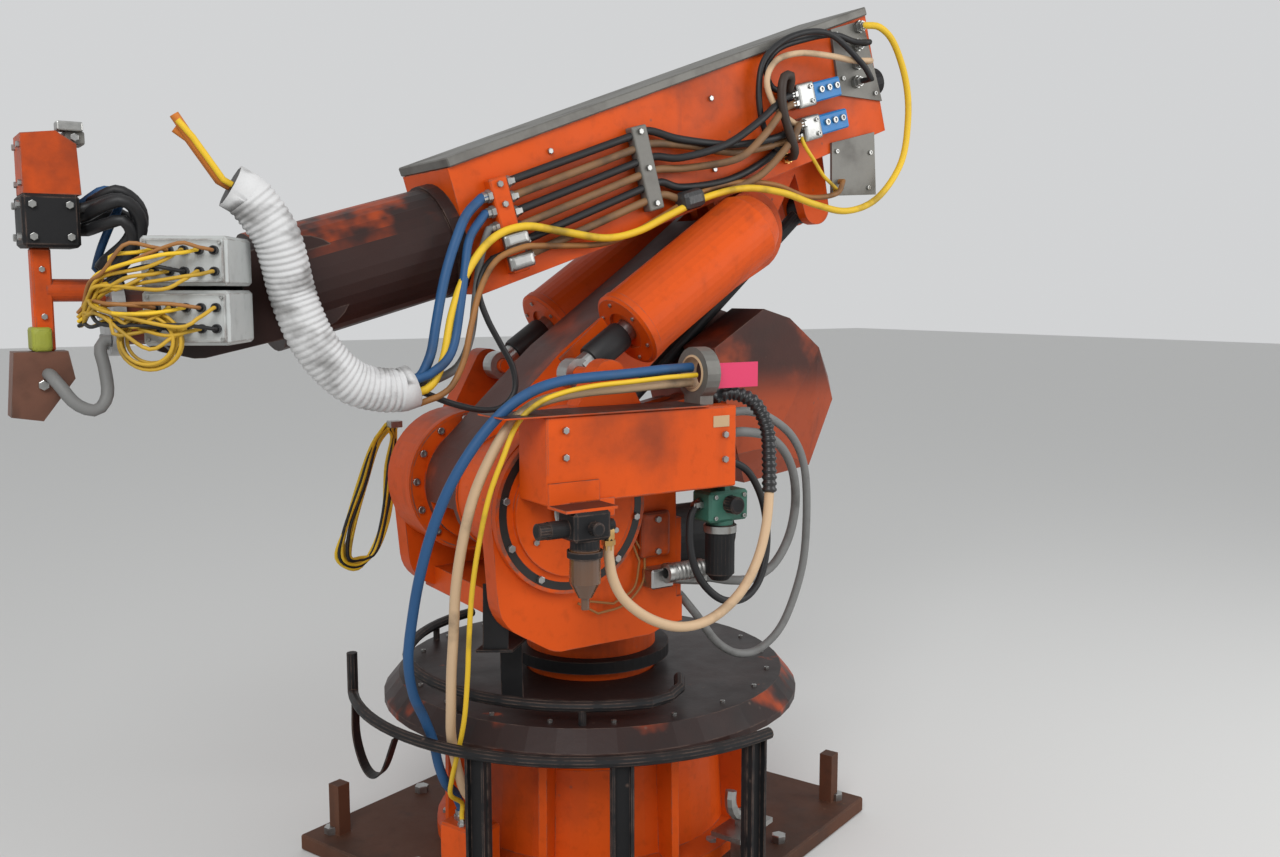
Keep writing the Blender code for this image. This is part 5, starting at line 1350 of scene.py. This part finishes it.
block("scrap_bracket_2", (0.180, 0.005, 0.350), (0.226, 0.042, 0.368), ON_WRIST, ZINC, "tool", 0.003)
stamp(hex_bolt, "scrap_bolts", [((0.195, 0.0302, 0.339), OUT, 0.008)], ON_WRIST, STEEL, "tool")


# The near balance rod's guard: a flat orange bar between the rod's pin and the cylinder's
# mouth.
# It is slotted steel bar, bent a little by use.
guard = [(-0.105, 0.146, 0.300), (-0.160, 0.1455, 0.343), (-0.222, 0.146, 0.394)]
strap("rod_guard", guard, 0.03, 0.006, (0.64, 0, 0.77), ON_FRAME, orange_dirty, "balance_rod_left")


# The spare cables: six strands, yellow and black, hung in a long loop from a hook on the far gear cover.
# They are tied up out of the arm's way.
block("bundle_hook", (0.082, -0.396, 0.112), (0.116, -0.3675, 0.13), ON_FRAME, ZINC, "frame", 0.002)
for k, material in enumerate((YELLOW, BLACK, SENSOR, YELLOW, BLACK, YELLOW)):
    w, sway = k / 5, 0.006 * math.sin(2.3 * k)
    route = [
        (0.088 + 0.005 * k, -0.3965, 0.121), (0.09 + 0.005 * k, -0.403, 0.118),
        (0.133 + 0.02 * w, -0.408, 0.07 + sway)
    ]
    route += [(0.168 + 0.02 * w, -0.412 + sway, -0.03), (0.205 + 0.03 * w + sway, -0.413, -0.147)]
    route += [
        (0.218 + 0.035 * w, -0.415 + sway, -0.225), (0.19 + 0.012 * w, -0.418, -0.262 + 0.03 * (1 - w))
    ]
    route += [(0.145 + 0.012 * w, -0.42 + sway, -0.222), (0.105 + 0.022 * w + sway, -0.42, -0.13)]
    route += [
        (0.088 + 0.022 * w, -0.417 + sway, 0.0), (0.086 + 0.01 * w, -0.41, 0.08),
        (0.088 + 0.004 * k, -0.403, 0.105)
    ]
    route += [(0.088 + 0.004 * k, -0.3965, 0.115)]
    cord_piece(
        "spare_strand_%d" % (k + 1), route, 0.0048, material, "frame", ON_FRAME,
    )


# A thick rubber line loops up from the housing beside the valves and back, and a thin yellow one
# leaves the lower valve.
# Both go through the side panel.
DARK_RUBBER = jacket("dark_rubber_jacket", (0.035, 0.022, 0.016), 0.4)
thick = [
    (-0.150, 0.1255, 0.325), (-0.150, 0.165, 0.328), (-0.146, 0.185, 0.36), (-0.118, 0.19, 0.362),
    (-0.10, 0.19, 0.325)
]
thick += [
    (-0.095, 0.19, 0.275), (-0.106, 0.185, 0.22), (-0.12, 0.175, 0.18), (-0.126, 0.16, 0.163),
    (-0.126, 0.1255, 0.16)
]
cord_piece("rubber_line", thick, 0.0115, DARK_RUBBER, "upper_arm", ON_ARM)
thin = [
    (-0.1765, 0.145, 0.206), (-0.165, 0.158, 0.206), (-0.163, 0.168, 0.18), (-0.18, 0.172, 0.14),
    (-0.205, 0.168, 0.095)
]
thin += [(-0.24, 0.16, 0.06), (-0.262, 0.148, 0.045), (-0.27, 0.1255, 0.042)]
cord_piece("valve_lead", thin, 0.005, YELLOW, "upper_arm", ON_ARM)
stamp(
    gland_model, "rubber_line_ends",
    [((-0.126, 0.1258, 0.16), OUT, 0.0145), ((-0.150, 0.1258, 0.325), OUT, 0.0145)], ON_ARM, BRASS,
    "upper_arm"
)


for model in (hex_bolt, socket_screw, knob, gland_model, spun_port):
    bpy.data.objects.remove(model)
